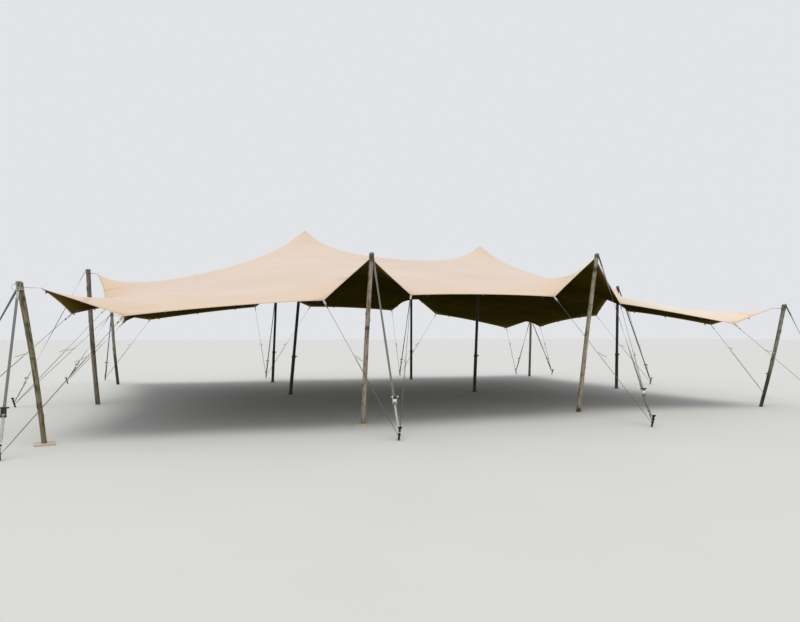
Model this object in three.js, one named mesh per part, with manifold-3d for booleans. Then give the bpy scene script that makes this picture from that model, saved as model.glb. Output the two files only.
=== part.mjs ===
// A stretch tent: one stretched cloth over twelve poles, held out by ratchet straps and guy ropes to stakes.
// Millimetres, +Z up. X runs along the long front edge and Y from the front to the back, both from the
// middle of the ground that the tent and its stakes cover. Z = 0 is the ground.
import * as THREE from "three";
import { mergeVertices } from "three/addons/utils/BufferGeometryUtils.js";
import Module from "manifold-3d";

const wasm = await Module();
wasm.setup();

// General
const TOUCH = 0.3; // gap between two pieces that touch
const SMALLEST_DETAIL = 0.02; // a point that lies closer than this to a flat face or a line goes
const UP = new THREE.Vector3(0, 0, 1);

// Poles: where each stands, where its top leans to, a timber pole's radii at its foot and its top, and how
// the board under it lies: its turn, and how far its middle is from the pole's along X
const POLES = {
  front_left: {
    wood: true, foot: [-7148, -5990], top: [-7513, -6040, 2380], radii: [34, 43], bend: 20,
    board: { turn: 0.2, shift: 0 },
  },
  front_left_middle: {
    wood: true, foot: [-2230, -5640], top: [-2300, -6400, 2990], radii: [42, 37], bend: 110,
    board: { turn: -0.15, shift: -35 },
  },
  front_right_middle: {
    wood: true, foot: [2510, -5370], top: [2528, -6020, 3240], radii: [46, 40], bend: 200,
  },
  front_right: { wood: true, foot: [6890, -5970], top: [7290, -6290, 2290], radii: [36, 43], bend: 310 },
  left_middle: { wood: true, foot: [-7150, -590], top: [-7410, -590, 3130], radii: [50, 47], bend: 200 },
  centre_left: { wood: false, foot: [-2580, 330], top: [-2240, 210, 4440], inside: true },
  centre_right: { wood: false, foot: [2470, -590], top: [2640, -650, 4140], inside: true },
  right_middle: { wood: false, foot: [6950, -1090], top: [7050, -1090, 3080] },
  back_left: { wood: true, foot: [-7340, 5400], top: [-7590, 5590, 2350], radii: [44, 45], bend: 160 },
  back_left_middle: { wood: false, foot: [-2500, 4670], top: [-2350, 5000, 3160] },
  back_right_middle: { wood: false, foot: [2410, 4400], top: [2550, 4750, 3200] },
  back_right: { wood: true, foot: [7310, 4400], top: [7540, 4630, 2250], radii: [46, 40], bend: 250 },
};
const TIMBER_CROOK = 22; // how far a timber pole bows out of line at its middle
const TIMBER_SIDES = 12;
const TIMBER_SECTIONS = 6;
const TUBE_SIDES = 16;
const LOWER_TUBE_RADIUS = 46;
const UPPER_TUBE_RADIUS = 40;
const COLLAR = { radius: 54, from: 980, to: 1050 };
const BASE_PLATE = { radius: 85, height: 10 };
const CAP = { radius: 170, neck: 10, rim: 28 }; // the domed head under the cloth of an inside pole
const BOARD = { side: 270, height: 25 };

// Cloth
const CLOTH_THICKNESS = 5;
const CLOTH_BELOW_TOP = 80; // from a pole's top end down to the cloth's edge
const CLOTH_FROM_POLE = 6; // from an edge pole's side to the cloth's edge
const EDGE_ARC_RADIUS = 11000; // the edge rope bows inwards between its ties on arcs of about this radius
const PEAK_RING = { radius: 200, drop: 150 }; // the stiff patch over an inside pole's cap
const BAY_LENGTH = { across: 4850, deep: 5300 };
const BAY_STATIONS = [0, 0.04, 0.12, 0.2, 0.35, 0.5, 0.65, 0.8, 0.88, 0.96]; // grid lines in each bay
// The cloth pulls harder along the lines from pole to pole: by how many times more, and over what half width
const RIDGE = {
  across: { gain: 2.5, width: 1600 }, // along the middle row of poles
  deep: { gain: 0.75, width: 1600 }, // from a front pole over a peak to a back pole
  corner: { gain: 3.5, width: 560 }, // from a corner pole to its peak
};
const LOW_TIE = { first: 3, second: 7 }; // the stations where guy ropes pull the edge down
const BAYS = { across: 3, deep: 2 };
const RELAX = { startHeight: 2800, sweeps: 2600, factor: 1.86 };
const COVER_HEIGHT = 600; // how far above the cloth the cutter reaches that trims the caps to its underside

// Corner tips and one middle tip hang on a lashing beside their pole
const TIPS = {
  front_left: [-7250, -5900, 2290],
  front_right: [7050, -6200, 2190],
  left_middle: [-7215, -590, 3010],
  back_left: [-7400, 5350, 2240],
  back_right: [7350, 4500, 2170],
};

// Low ties along the edge, from left to right and from front to back
const LOW_TIES = {
  front: [
    [-6120, -6100, 1890],
    [-3120, -6400, 2170],
    [-1600, -6400, 2290],
    [1330, -6300, 2330],
    [3250, -5800, 2260],
    [5920, -6200, 1840],
  ],
  back: [
    [-6410, 5200, 2100],
    [-3090, 4800, 2550],
    [-1215, 4800, 2590],
    [1740, 4600, 2490],
    [3470, 4600, 2380],
    [6430, 4600, 1870],
  ],
  left: [
    [-7050, -4700, 1960],
    [-6920, -1400, 2200],
    [-6950, 400, 2200],
    [-7150, 4300, 1950],
  ],
  right: [
    [6750, -4800, 1850],
    [6750, -1900, 2280],
    [7100, 0, 2220],
    [7250, 3500, 1910],
  ],
};

// Stakes: where each goes into the ground, the way it leans, the pole it holds and the ties on its rope
const STAKES = {
  front_left_front: { at: [-7440, -7050], lean: [0, -1], pole: "front_left", guys: [["front", 0]] },
  front_left_side: {
    at: [-9000, -4100], lean: [-1, 0], pole: "front_left", guys: [["left", 0]], lower: true,
  },
  front_left_middle: {
    at: [-2150, -7345], lean: [0, -1], pole: "front_left_middle", guys: [["front", 1], ["front", 2]],
    handle: true,
  },
  front_right_middle: {
    at: [2450, -7540], lean: [0, -1], pole: "front_right_middle", guys: [["front", 3], ["front", 4]],
    handle: true,
  },
  front_right_front: { at: [7000, -7580], lean: [0, -1], pole: "front_right", guys: [["front", 5]] },
  front_right_side: {
    at: [9000, -4300], lean: [1, 0], pole: "front_right", guys: [["right", 0]], lower: true,
  },
  left_middle: {
    at: [-8790, -620], lean: [-1, 0], pole: "left_middle", guys: [["left", 1], ["left", 2]],
  },
  right_middle: {
    at: [9000, -200], lean: [1, 0], pole: "right_middle", guys: [["right", 1], ["right", 2]],
  },
  back_left_side: { at: [-8930, 6260], lean: [-1, 0], pole: "back_left", guys: [["left", 3]], lower: true },
  back_left_back: { at: [-7980, 7580], lean: [0, 1], pole: "back_left", guys: [["back", 0]] },
  back_left_middle: {
    at: [-2450, 6900], lean: [0, 1], pole: "back_left_middle", guys: [["back", 1], ["back", 2]],
  },
  back_right_middle: {
    at: [2650, 6300], lean: [0, 1], pole: "back_right_middle", guys: [["back", 3], ["back", 4]],
  },
  back_right_back: { at: [7550, 5800], lean: [0, 1], pole: "back_right", guys: [["back", 5]] },
  back_right_side: { at: [8650, 4900], lean: [1, 0], pole: "back_right", guys: [["right", 3]], lower: true },
};
const STAKE = { radius: 17, height: 215, headRadius: 34, headHeight: 24, leanSlope: 0.3, sides: 8 };
const STRAP_RING = { height: 130, thickness: 7 };
const GUY_RING = { height: 85, thickness: 6 };
const RING_SECTION_SIDES = 4;
const SMALL_BAR_SIDES = 6;

// Straps and their ratchets, measured from the ratchet's axle along the strap
const WEBBING = { width: 36, upper: 4, lower: 9 };
const SLING = { height: 34, thickness: 6, below: 39, spacing: 46 };
const HOOK = { radius: 7, length: 90, lap: 20 };
const RATCHET_HEIGHT = 540;
const FRAME = { inner: 22, plate: 3, from: -22, to: 128, front: 20, back: -16 };
const DRUM_RADIUS = 14;
const BASE_BAR = { radius: 7, at: 112 };
const AXLE = { radius: 6, reach: 39, reachShut: 32, sides: 12 };
const HANDLE = { inner: 30, plate: 4, width: 24, from: -14, length: 134, tilt: 0.34, holeRadius: 6.6 };
const GRIP = { radius: 11, length: 126 };

// Guy ropes
const ROPE = { radius: 6, sides: 6 };
const TAB = { radius: 5, length: 40, gap: 0.85 }; // the sewn tab that a guy rope is tied to
const LASHING = { radius: 8, clearance: 400 };
const TENSIONER = { length: 210, width: 30, thickness: 14, height: 1290, tilt: -0.45, tail: 20 };

// Finishes
const FINISH = {
  cloth: new THREE.MeshStandardMaterial({ color: 0xd9bfa3, roughness: 0.9, side: THREE.DoubleSide }),
  timber: new THREE.MeshStandardMaterial({ color: 0x7d6a58, roughness: 0.85 }),
  tube: new THREE.MeshStandardMaterial({ color: 0x2a2522, roughness: 0.5, metalness: 0.4 }),
  board: new THREE.MeshStandardMaterial({ color: 0xcdb093, roughness: 0.85 }),
  webbing: new THREE.MeshStandardMaterial({ color: 0x8d918e, roughness: 0.8 }),
  handle: new THREE.MeshStandardMaterial({ color: 0xb9bcbc, roughness: 0.4, metalness: 0.8 }),
  stake: new THREE.MeshStandardMaterial({ color: 0x1b1b1b, roughness: 0.6, metalness: 0.5 }),
  rope: new THREE.MeshStandardMaterial({ color: 0xc9c7bd, roughness: 0.9 }),
};

const vec = (point) => new THREE.Vector3(...point);

// Solids

function solidOf(geometry) {
  const bare = geometry.clone();
  bare.deleteAttribute("normal");
  bare.deleteAttribute("uv");
  const merged = mergeVertices(bare, 1e-3);
  return new wasm.Manifold(
    new wasm.Mesh({
      numProp: 3,
      vertProperties: merged.attributes.position.array,
      triVerts: new Uint32Array(merged.index.array),
    }),
  );
}

function geometryOf(solid) {
  const mesh = solid.asOriginal().simplify(SMALLEST_DETAIL).getMesh();
  const geometry = new THREE.BufferGeometry();
  geometry.setAttribute("position", new THREE.BufferAttribute(Float32Array.from(mesh.vertProperties), 3));
  geometry.setIndex(new THREE.BufferAttribute(Uint32Array.from(mesh.triVerts), 1));
  geometry.computeVertexNormals();
  return geometry;
}

const union = (geometries) => geometries.map(solidOf).reduce((all, next) => all.add(next));

// Moves every point of a geometry to where place(point) puts it.
function reshaped(geometry, place) {
  const position = geometry.attributes.position;
  const point = new THREE.Vector3();
  for (let i = 0; i < position.count; i += 1) {
    point.fromBufferAttribute(position, i);
    place(point);
    position.setXYZ(i, point.x, point.y, point.z);
  }
  return geometry;
}

// A turned shape about +Z from [radius, height] pairs that start and end on the axis.
function turned(profile, sides) {
  const points = profile.map(([radius, height]) => new THREE.Vector2(radius, height));
  return new THREE.LatheGeometry(points, sides).rotateX(Math.PI / 2);
}

// A round bar between two points.
function bar(from, to, radius, sides = SMALL_BAR_SIDES) {
  const along = to.clone().sub(from);
  const turn = new THREE.Quaternion().setFromUnitVectors(UP, along.clone().normalize());
  return new THREE.CylinderGeometry(radius, radius, along.length(), sides)
    .rotateX(Math.PI / 2)
    .applyQuaternion(turn)
    .translate(...from.clone().add(to).multiplyScalar(0.5).toArray());
}

// Poles

// The middle of a pole at a height: straight from foot to top, with a timber pole's bow on it.
function poleAxis(pole, height) {
  const top = vec(pole.top);
  const share = height / top.z;
  const bow = pole.wood ? TIMBER_CROOK * Math.sin(Math.PI * share) : 0;
  const angle = THREE.MathUtils.degToRad(pole.bend ?? 0);
  return new THREE.Vector3(
    THREE.MathUtils.lerp(pole.foot[0], top.x, share) + bow * Math.cos(angle),
    THREE.MathUtils.lerp(pole.foot[1], top.y, share) + bow * Math.sin(angle),
    height,
  );
}

// Sets an upright shape on a pole's leaning axis; level ends stay level.
const onPole = (geometry, pole) =>
  reshaped(geometry, (point) => {
    const axis = poleAxis(pole, point.z);
    point.x += axis.x;
    point.y += axis.y;
  });

function timberPole(pole) {
  const foot = pole.board ? BOARD.height + TOUCH : 0;
  const length = pole.top[2] - foot;
  const [low, high] = pole.radii;
  const stem = new THREE.CylinderGeometry(high, low, length, TIMBER_SIDES, TIMBER_SECTIONS);
  return onPole(stem.rotateX(Math.PI / 2).translate(0, 0, foot + length / 2), pole);
}

// A tube pole: base plate, wide lower tube, clamping collar and slim upper tube.
function tubePole(pole) {
  const top = pole.top[2];
  const stem = [
    [0, 0],
    [BASE_PLATE.radius, 0],
    [BASE_PLATE.radius, BASE_PLATE.height],
    [LOWER_TUBE_RADIUS, BASE_PLATE.height],
    [LOWER_TUBE_RADIUS, COLLAR.from],
    [COLLAR.radius, COLLAR.from],
    [COLLAR.radius, COLLAR.to],
    [UPPER_TUBE_RADIUS, COLLAR.to],
    [UPPER_TUBE_RADIUS, top],
    [0, top],
  ];
  return onPole(turned(stem, TUBE_SIDES), pole);
}

// An inside pole with its domed cap, both drawn a little too tall and trimmed to the cloth's underside.
function cappedPole(pole, cover) {
  const solid = union([poleShape(pole), poleCap(pole)]).subtract(cover);
  return geometryOf(solid);
}

function poleCap(pole) {
  const top = pole.top[2];
  const underside = top - PEAK_RING.drop - CAP.rim;
  const profile = [
    [0, underside - CAP.rim],
    [UPPER_TUBE_RADIUS + CAP.neck, underside - CAP.rim],
    [CAP.radius, underside],
    [CAP.radius, top],
    [0, top],
  ];
  return onPole(turned(profile, TUBE_SIDES), pole);
}

const poleShape = (pole) => (pole.wood ? timberPole(pole) : tubePole(pole));

// A pole's radius at a height, above any collar.
function poleRadius(pole, height) {
  if (!pole.wood) return UPPER_TUBE_RADIUS;
  return THREE.MathUtils.lerp(...pole.radii, height / pole.top[2]);
}

function footBoard(pole) {
  return new THREE.BoxGeometry(BOARD.side, BOARD.side, BOARD.height)
    .rotateZ(pole.board.turn)
    .translate(pole.foot[0] + pole.board.shift, pole.foot[1], BOARD.height / 2);
}

// Cloth

// Grid lines of the cloth along one direction: each station's place, in mm of unstretched cloth.
function stations(bays, length) {
  const list = [];
  for (let bay = 0; bay < bays; bay += 1) {
    BAY_STATIONS.forEach((share) => list.push((bay + share) * length));
  }
  return [...list, bays * length];
}

const PER_BAY = BAY_STATIONS.length;
const ACROSS = stations(BAYS.across, BAY_LENGTH.across);
const DEEP = stations(BAYS.deep, BAY_LENGTH.deep);
const COLUMNS = ACROSS.length;
const ROWS = DEEP.length;
const gridIndex = (i, j) => j * COLUMNS + i;
const tieStation = (k) => Math.floor(k / 2) * PER_BAY + (k % 2 ? LOW_TIE.second : LOW_TIE.first);

// Where an edge pole holds the cloth: at its side that looks inwards, or at a tip lashed to it.
function clothAtPole(name, inwards) {
  if (TIPS[name]) return vec(TIPS[name]);
  const height = POLES[name].top[2] - CLOTH_BELOW_TOP;
  const reach = poleRadius(POLES[name], height) + CLOTH_FROM_POLE;
  return poleAxis(POLES[name], height).addScaledVector(inwards, reach);
}

// All the points of the cloth that poles and guy ropes hold, by grid index.
function heldPoints() {
  const held = new Map();
  const poleGrid = [
    ["front_left", "front_left_middle", "front_right_middle", "front_right"],
    ["left_middle", "centre_left", "centre_right", "right_middle"],
    ["back_left", "back_left_middle", "back_right_middle", "back_right"],
  ];
  poleGrid.forEach((row, down) =>
    row.forEach((name, over) => {
      const i = over * PER_BAY;
      const j = down * PER_BAY;
      if (!POLES[name].inside) {
        const inwards = new THREE.Vector3(1.5 - over, 1 - down, 0);
        if (down !== 1) inwards.x = 0;
        held.set(gridIndex(i, j), clothAtPole(name, inwards.normalize()));
        return;
      }
      const peak = vec(POLES[name].top);
      for (let di = -1; di <= 1; di += 1) {
        for (let dj = -1; dj <= 1; dj += 1) {
          const out = new THREE.Vector2(di, dj).normalize().multiplyScalar(PEAK_RING.radius);
          const drop = di || dj ? PEAK_RING.drop : 0;
          const spot = new THREE.Vector3(peak.x + out.x, peak.y + out.y, peak.z - drop);
          held.set(gridIndex(i + di, j + dj), spot);
        }
      }
    }),
  );
  LOW_TIES.front.forEach((tie, k) => held.set(gridIndex(tieStation(k), 0), vec(tie)));
  LOW_TIES.back.forEach((tie, k) => held.set(gridIndex(tieStation(k), ROWS - 1), vec(tie)));
  LOW_TIES.left.forEach((tie, k) => held.set(gridIndex(0, tieStation(k)), vec(tie)));
  LOW_TIES.right.forEach((tie, k) => held.set(gridIndex(COLUMNS - 1, tieStation(k)), vec(tie)));
  return held;
}

// How much harder a thread pulls that runs beside a line of poles, by its distance from that line.
const ridgePull = ({ gain, width }, offset) => gain * Math.exp(-((offset / width) ** 2));

// The width of cloth that a grid line stands for.
function lineWidth(lines, k) {
  const before = lines[k - 1] ?? lines[k];
  const after = lines[k + 1] ?? lines[k];
  return (after - before) / 2;
}

// The pull of the edge rope, which runs along the cloth's border only.
const edgeRope = (lines, k) => (k === 0 || k === lines.length - 1 ? EDGE_ARC_RADIUS : 0);

// The threads along the cloth's two directions. Each one pulls by the width of cloth it stands for, over
// its length, and harder near a line of poles.
function straightThreads() {
  const threads = [];
  const { across, deep } = BAY_LENGTH;
  DEEP.forEach((v, j) => {
    const gain = 1 + ridgePull(RIDGE.across, v - deep);
    const width = lineWidth(DEEP, j) * gain + edgeRope(DEEP, j);
    for (let i = 0; i < COLUMNS - 1; i += 1) {
      threads.push([gridIndex(i, j), gridIndex(i + 1, j), width / (ACROSS[i + 1] - ACROSS[i])]);
    }
  });
  ACROSS.forEach((u, i) => {
    const gain = 1 + ridgePull(RIDGE.deep, u - across) + ridgePull(RIDGE.deep, u - 2 * across);
    const width = lineWidth(ACROSS, i) * gain + edgeRope(ACROSS, i);
    for (let j = 0; j < ROWS - 1; j += 1) {
      threads.push([gridIndex(i, j), gridIndex(i, j + 1), width / (DEEP[j + 1] - DEEP[j])]);
    }
  });
  return threads;
}

// The threads that fan out from one corner pole towards its peak, through the cells of its bay.
function cornerThreads(overEnd, downEnd) {
  const threads = [];
  const diagonal = Math.hypot(BAY_LENGTH.across, BAY_LENGTH.deep);
  const shares = [...BAY_STATIONS, 1];
  const column = (k) => (overEnd ? COLUMNS - 1 - k : k);
  const row = (k) => (downEnd ? ROWS - 1 - k : k);
  for (let a = 0; a < PER_BAY; a += 1) {
    for (let b = 0; b < PER_BAY; b += 1) {
      const over = (shares[a + 1] - shares[a]) * BAY_LENGTH.across;
      const down = (shares[b + 1] - shares[b]) * BAY_LENGTH.deep;
      const offset = ((shares[a] + shares[a + 1] - shares[b] - shares[b + 1]) / 4) * diagonal;
      const pull = (ridgePull(RIDGE.corner, offset) * over * down) / (over * over + down * down);
      threads.push([gridIndex(column(a), row(b)), gridIndex(column(a + 1), row(b + 1)), pull]);
    }
  }
  return threads;
}

// The shape the stretched cloth settles into: every free point lies where its threads balance.
function relaxedCloth() {
  const held = heldPoints();
  const points = [];
  for (let j = 0; j < ROWS; j += 1) {
    for (let i = 0; i < COLUMNS; i += 1) {
      const x = ACROSS[i] - ACROSS.at(-1) / 2;
      const y = DEEP[j] - DEEP.at(-1) / 2;
      points.push(held.get(gridIndex(i, j)) ?? new THREE.Vector3(x, y, RELAX.startHeight));
    }
  }
  const corners = [[0, 0], [1, 0], [0, 1], [1, 1]].flatMap(([over, down]) => cornerThreads(over, down));
  const neighbours = points.map(() => []);
  [...straightThreads(), ...corners].forEach(([from, to, pull]) => {
    neighbours[from].push([to, pull]);
    neighbours[to].push([from, pull]);
  });
  const sum = new THREE.Vector3();
  for (let sweep = 0; sweep < RELAX.sweeps; sweep += 1) {
    points.forEach((point, index) => {
      if (held.has(index)) return;
      let total = 0;
      sum.set(0, 0, 0);
      neighbours[index].forEach(([other, pull]) => {
        total += pull;
        sum.addScaledVector(points[other], pull);
      });
      point.lerp(sum.divideScalar(total), RELAX.factor);
    });
  }
  return points;
}

const CLOTH = relaxedCloth();

// The cloth's border by grid index, anticlockwise from its front left corner.
function clothBorder() {
  const across = [...Array(COLUMNS - 1).keys()];
  const deep = [...Array(ROWS - 1).keys()];
  return [
    ...across.map((i) => gridIndex(i, 0)),
    ...deep.map((j) => gridIndex(COLUMNS - 1, j)),
    ...across.map((i) => gridIndex(COLUMNS - 1 - i, ROWS - 1)),
    ...deep.map((j) => gridIndex(0, ROWS - 1 - j)),
  ];
}

// A closed sheet on the cloth's points, from one height above them to another below. Both faces are split
// into triangles alike, so that the thin sheet never passes through itself.
function clothSheet(above, below) {
  const layer = CLOTH.length;
  const downward = [...new THREE.PlaneGeometry(1, 1, COLUMNS - 1, ROWS - 1).index.array];
  const upward = [...downward].reverse();
  const border = clothBorder();
  const rim = border.flatMap((from, k) => {
    const to = border[(k + 1) % border.length];
    return [from + layer, to + layer, to, from + layer, to, from];
  });
  const points = [above, -below].flatMap((offset) => CLOTH.flatMap(({ x, y, z }) => [x, y, z + offset]));
  const sheet = new THREE.BufferGeometry();
  sheet.setAttribute("position", new THREE.Float32BufferAttribute(points, 3));
  sheet.setIndex([...upward, ...downward.map((index) => index + layer), ...rim]);
  sheet.computeVertexNormals();
  return sheet;
}

// Where a lashing that leaves a corner of the cloth outwards ends, just clear of all the cloth near it.
function lashingSeat(tip, direction) {
  let reach = 0;
  CLOTH.forEach((other) => {
    if (other.distanceTo(tip) > LASHING.clearance) return;
    [0, -CLOTH_THICKNESS].forEach((drop) => {
      const corner = other.clone().addScaledVector(UP, drop);
      reach = Math.max(reach, corner.sub(tip).dot(direction));
    });
  });
  return tip.clone().addScaledVector(direction, reach + TOUCH);
}

// The upright tab under a low tie, with its level top just below the cloth, which is nearly level there.
function guyTab(tie) {
  const top = tie.clone().addScaledVector(UP, -CLOTH_THICKNESS - TAB.gap);
  const end = top.clone().addScaledVector(UP, -TAB.length);
  return { end, shape: bar(top, end, TAB.radius) };
}

// Stakes, straps and guys

// Sets an upright shape on a stake's leaning axis.
const onStake = (geometry, stake) =>
  reshaped(geometry, (point) => {
    const slope = STAKE.leanSlope * point.z;
    point.x += stake.at[0] + stake.lean[0] * slope;
    point.y += stake.at[1] + stake.lean[1] * slope;
  });

function stakeShape(stake) {
  const { radius, height, headRadius, headHeight, sides } = STAKE;
  const neck = height - headHeight;
  const profile = [
    [0, 0],
    [radius, 0],
    [radius, neck],
    [headRadius, neck],
    [headRadius, height],
    [0, height],
  ];
  return onStake(turned(profile, sides), stake);
}

// The point of a stake's ring that faces a target: the middle of the ring's own round section.
function onRing(stake, { height, thickness }, target) {
  const slope = STAKE.leanSlope * height;
  const x = stake.at[0] + stake.lean[0] * slope;
  const axis = new THREE.Vector3(x, stake.at[1] + stake.lean[1] * slope, height);
  const towards = target.clone().sub(axis).setZ(0).normalize();
  return axis.addScaledVector(towards, STAKE.radius + TOUCH + thickness);
}

function stakeRing(stake, { height, thickness }) {
  const middle = STAKE.radius + TOUCH + thickness;
  const torus = new THREE.TorusGeometry(middle, thickness, RING_SECTION_SIDES, STAKE.sides);
  return onStake(torus.translate(0, 0, height), stake);
}

// A strap's own frame: Z from the stake's ring up to the pole, X across the webbing, Y away from the tent.
function strapFrame(stake) {
  const pole = POLES[stake.pole];
  const slingMiddle = poleAxis(pole, pole.top[2] - SLING.below - (stake.lower ? SLING.spacing : 0));
  const foot = onRing(stake, STRAP_RING, slingMiddle);
  const head = onSling(pole, slingMiddle, foot);
  const along = head.clone().sub(foot);
  const length = along.length();
  along.normalize();
  const across = new THREE.Vector3().crossVectors(UP, along).normalize();
  const away = new THREE.Vector3().crossVectors(along, across);
  const axle = (RATCHET_HEIGHT - foot.z) / along.z;
  return { pole, slingMiddle, foot, along, across, away, length, axle };
}

// The point in a sling's thickness that faces a target.
function onSling(pole, slingMiddle, target) {
  const outward = target.clone().sub(slingMiddle).setZ(0).normalize();
  const reach = poleRadius(pole, slingMiddle.z) + TOUCH + SLING.thickness / 2;
  return slingMiddle.clone().addScaledVector(outward, reach);
}

// Puts a shape drawn about a ratchet's axle (X across, Y away, Z towards the pole) on its strap.
function onRatchet(geometry, frame) {
  const middle = frame.foot.clone().addScaledVector(frame.along, frame.axle);
  const basis = new THREE.Matrix4().makeBasis(frame.across, frame.away, frame.along).setPosition(middle);
  return geometry.applyMatrix4(basis);
}

const block = (x, y, z) =>
  new THREE.BoxGeometry(x[1] - x[0], y[1] - y[0], z[1] - z[0]).translate(
    (x[0] + x[1]) / 2,
    (y[0] + y[1]) / 2,
    (z[0] + z[1]) / 2,
  );

const crossBar = (radius, halfLength, y, z, sides) =>
  bar(new THREE.Vector3(-halfLength, y, z), new THREE.Vector3(halfLength, y, z), radius, sides);

// The two webbing runs, the ratchet's side plates, drum, base bar and axle, as one strap.
function strapBody(frame, handleTurns) {
  const half = WEBBING.width / 2;
  const outer = FRAME.inner + FRAME.plate;
  const lowerEnd = HOOK.length - frame.axle;
  const upperEnd = frame.length - frame.axle;
  const plates = [-1, 1].map((side) =>
    block(
      side > 0 ? [FRAME.inner, outer] : [-outer, -FRAME.inner],
      [FRAME.back, FRAME.front],
      [FRAME.from, FRAME.to],
    ),
  );
  const axle = handleTurns
    ? crossBar(AXLE.radius, AXLE.reach, 0, 0, AXLE.sides)
    : crossBar(AXLE.radius, AXLE.reachShut, 0, 0);
  const shapes = [
    block([-half, half], [-WEBBING.lower / 2, WEBBING.lower / 2], [lowerEnd, 0]),
    block([-half, half], [-WEBBING.upper / 2, WEBBING.upper / 2], [BASE_BAR.at, upperEnd]),
    ...plates,
    crossBar(DRUM_RADIUS, FRAME.inner + 1, 0, 0),
    crossBar(BASE_BAR.radius, FRAME.inner + 1, 0, BASE_BAR.at),
    axle,
  ];
  return shapes.map((shape) => onRatchet(shape, frame));
}

// The ratchet's handle: two arms outside the side plates and a wide grip, shut along the strap.
function handlePieces() {
  const { inner, plate, width, from, length, tilt } = HANDLE;
  const arms = [-1, 1].map((side) =>
    block(
      side > 0 ? [inner, inner + plate] : [-inner - plate, -inner],
      [-width / 2, width / 2],
      [from, length + from],
    ),
  );
  const grip = crossBar(GRIP.radius, GRIP.length / 2, 0, length + from - GRIP.radius);
  return [...arms, grip].map((piece) => piece.rotateX(-tilt));
}

// A handle that turns: the same pieces with a hole round the axle.
function handleShape(frame) {
  const hole = solidOf(crossBar(HANDLE.holeRadius, AXLE.reach, 0, 0, AXLE.sides));
  const handle = union(handlePieces()).subtract(hole);
  return onRatchet(geometryOf(handle), frame);
}

// A stretch of a pole grown outwards: the sling before it is hollowed, or the cutter that hollows it.
function aroundPole({ pole, slingMiddle }, grow, halfHeight) {
  const low = slingMiddle.z - halfHeight;
  const high = slingMiddle.z + halfHeight;
  const profile = [
    [0, low],
    [poleRadius(pole, low) + grow, low],
    [poleRadius(pole, high) + grow, high],
    [0, high],
  ];
  return onPole(turned(profile, pole.wood ? TIMBER_SIDES : TUBE_SIDES), pole);
}

function strapShape(stake) {
  const frame = strapFrame(stake);
  const hookEnd = frame.foot.clone().addScaledVector(frame.along, HOOK.length + HOOK.lap);
  const pieces = [
    ...strapBody(frame, stake.handle),
    bar(frame.foot, hookEnd, HOOK.radius),
    stakeRing(stake, STRAP_RING),
    aroundPole(frame, TOUCH + SLING.thickness, SLING.height / 2),
  ];
  if (TIPS[stake.pole] && !stake.lower) {
    const tip = vec(TIPS[stake.pole]);
    const knot = onSling(frame.pole, frame.slingMiddle, tip);
    const outwards = knot.clone().sub(tip).normalize();
    pieces.push(bar(knot, lashingSeat(tip, outwards), LASHING.radius));
  }
  if (!stake.handle) pieces.push(...handlePieces().map((piece) => onRatchet(piece, frame)));
  return geometryOf(union(pieces).subtract(solidOf(aroundPole(frame, TOUCH, SLING.height))));
}

// Guy ropes from tabs under the cloth's low ties down to one ring on the stake, each with its slider.
function guyShape(stake) {
  const pieces = [stakeRing(stake, GUY_RING)];
  stake.guys.forEach(([side, k]) => {
    const tab = guyTab(vec(LOW_TIES[side][k]));
    const foot = onRing(stake, GUY_RING, tab.end);
    pieces.push(tab.shape, bar(foot, tab.end, ROPE.radius, ROPE.sides), tensionerShape(tab.end, foot));
  });
  return geometryOf(union(pieces));
}

// The slider that shortens a guy rope: a flat bar lying a little across the rope.
function tensionerShape(top, foot) {
  const share = (top.z - TENSIONER.height) / (top.z - foot.z);
  const middle = top.clone().lerp(foot, share);
  const down = foot.clone().sub(top).normalize();
  const across = new THREE.Vector3().crossVectors(UP, down).normalize();
  const away = new THREE.Vector3().crossVectors(down, across);
  const basis = new THREE.Matrix4().makeBasis(across, away, down).setPosition(middle);
  return new THREE.BoxGeometry(TENSIONER.width, TENSIONER.thickness, TENSIONER.length)
    .translate(0, 0, TENSIONER.length / 2 - TENSIONER.tail)
    .rotateX(TENSIONER.tilt)
    .applyMatrix4(basis);
}

// Assembly

const tent = new THREE.Group();

function addPiece(name, geometry, material) {
  const mesh = new THREE.Mesh(geometry, material);
  mesh.name = name;
  tent.add(mesh);
}

addPiece("canopy", clothSheet(0, CLOTH_THICKNESS), FINISH.cloth);
const cover = solidOf(clothSheet(COVER_HEIGHT, CLOTH_THICKNESS + TOUCH));

for (const [name, pole] of Object.entries(POLES)) {
  const shape = pole.inside ? cappedPole(pole, cover) : poleShape(pole);
  addPiece(`pole_${name}`, shape, pole.wood ? FINISH.timber : FINISH.tube);
  if (pole.board) addPiece(`foot_board_${name}`, footBoard(pole), FINISH.board);
}

for (const [name, stake] of Object.entries(STAKES)) {
  addPiece(`stake_${name}`, stakeShape(stake), FINISH.stake);
  addPiece(`strap_${name}`, strapShape(stake), FINISH.webbing);
  addPiece(`guys_${name}`, guyShape(stake), FINISH.rope);
  if (stake.handle) addPiece(`ratchet_handle_${name}`, handleShape(strapFrame(stake)), FINISH.handle);
}

export default tent;
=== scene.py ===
"""Dresses the stretch tent: cloth, poles, straps, ratchets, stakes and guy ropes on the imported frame.

Metres, +Z up, +X along the long front edge, +Y from the front to the back. The ground is Z = 0.
"""

from __future__ import annotations

import logging
import math
from collections.abc import Callable, Iterable, Sequence
from dataclasses import dataclass, field
from enum import Enum
from itertools import accumulate

import bmesh
import bpy
import numpy as np
from mathutils import Matrix, Vector, noise

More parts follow.
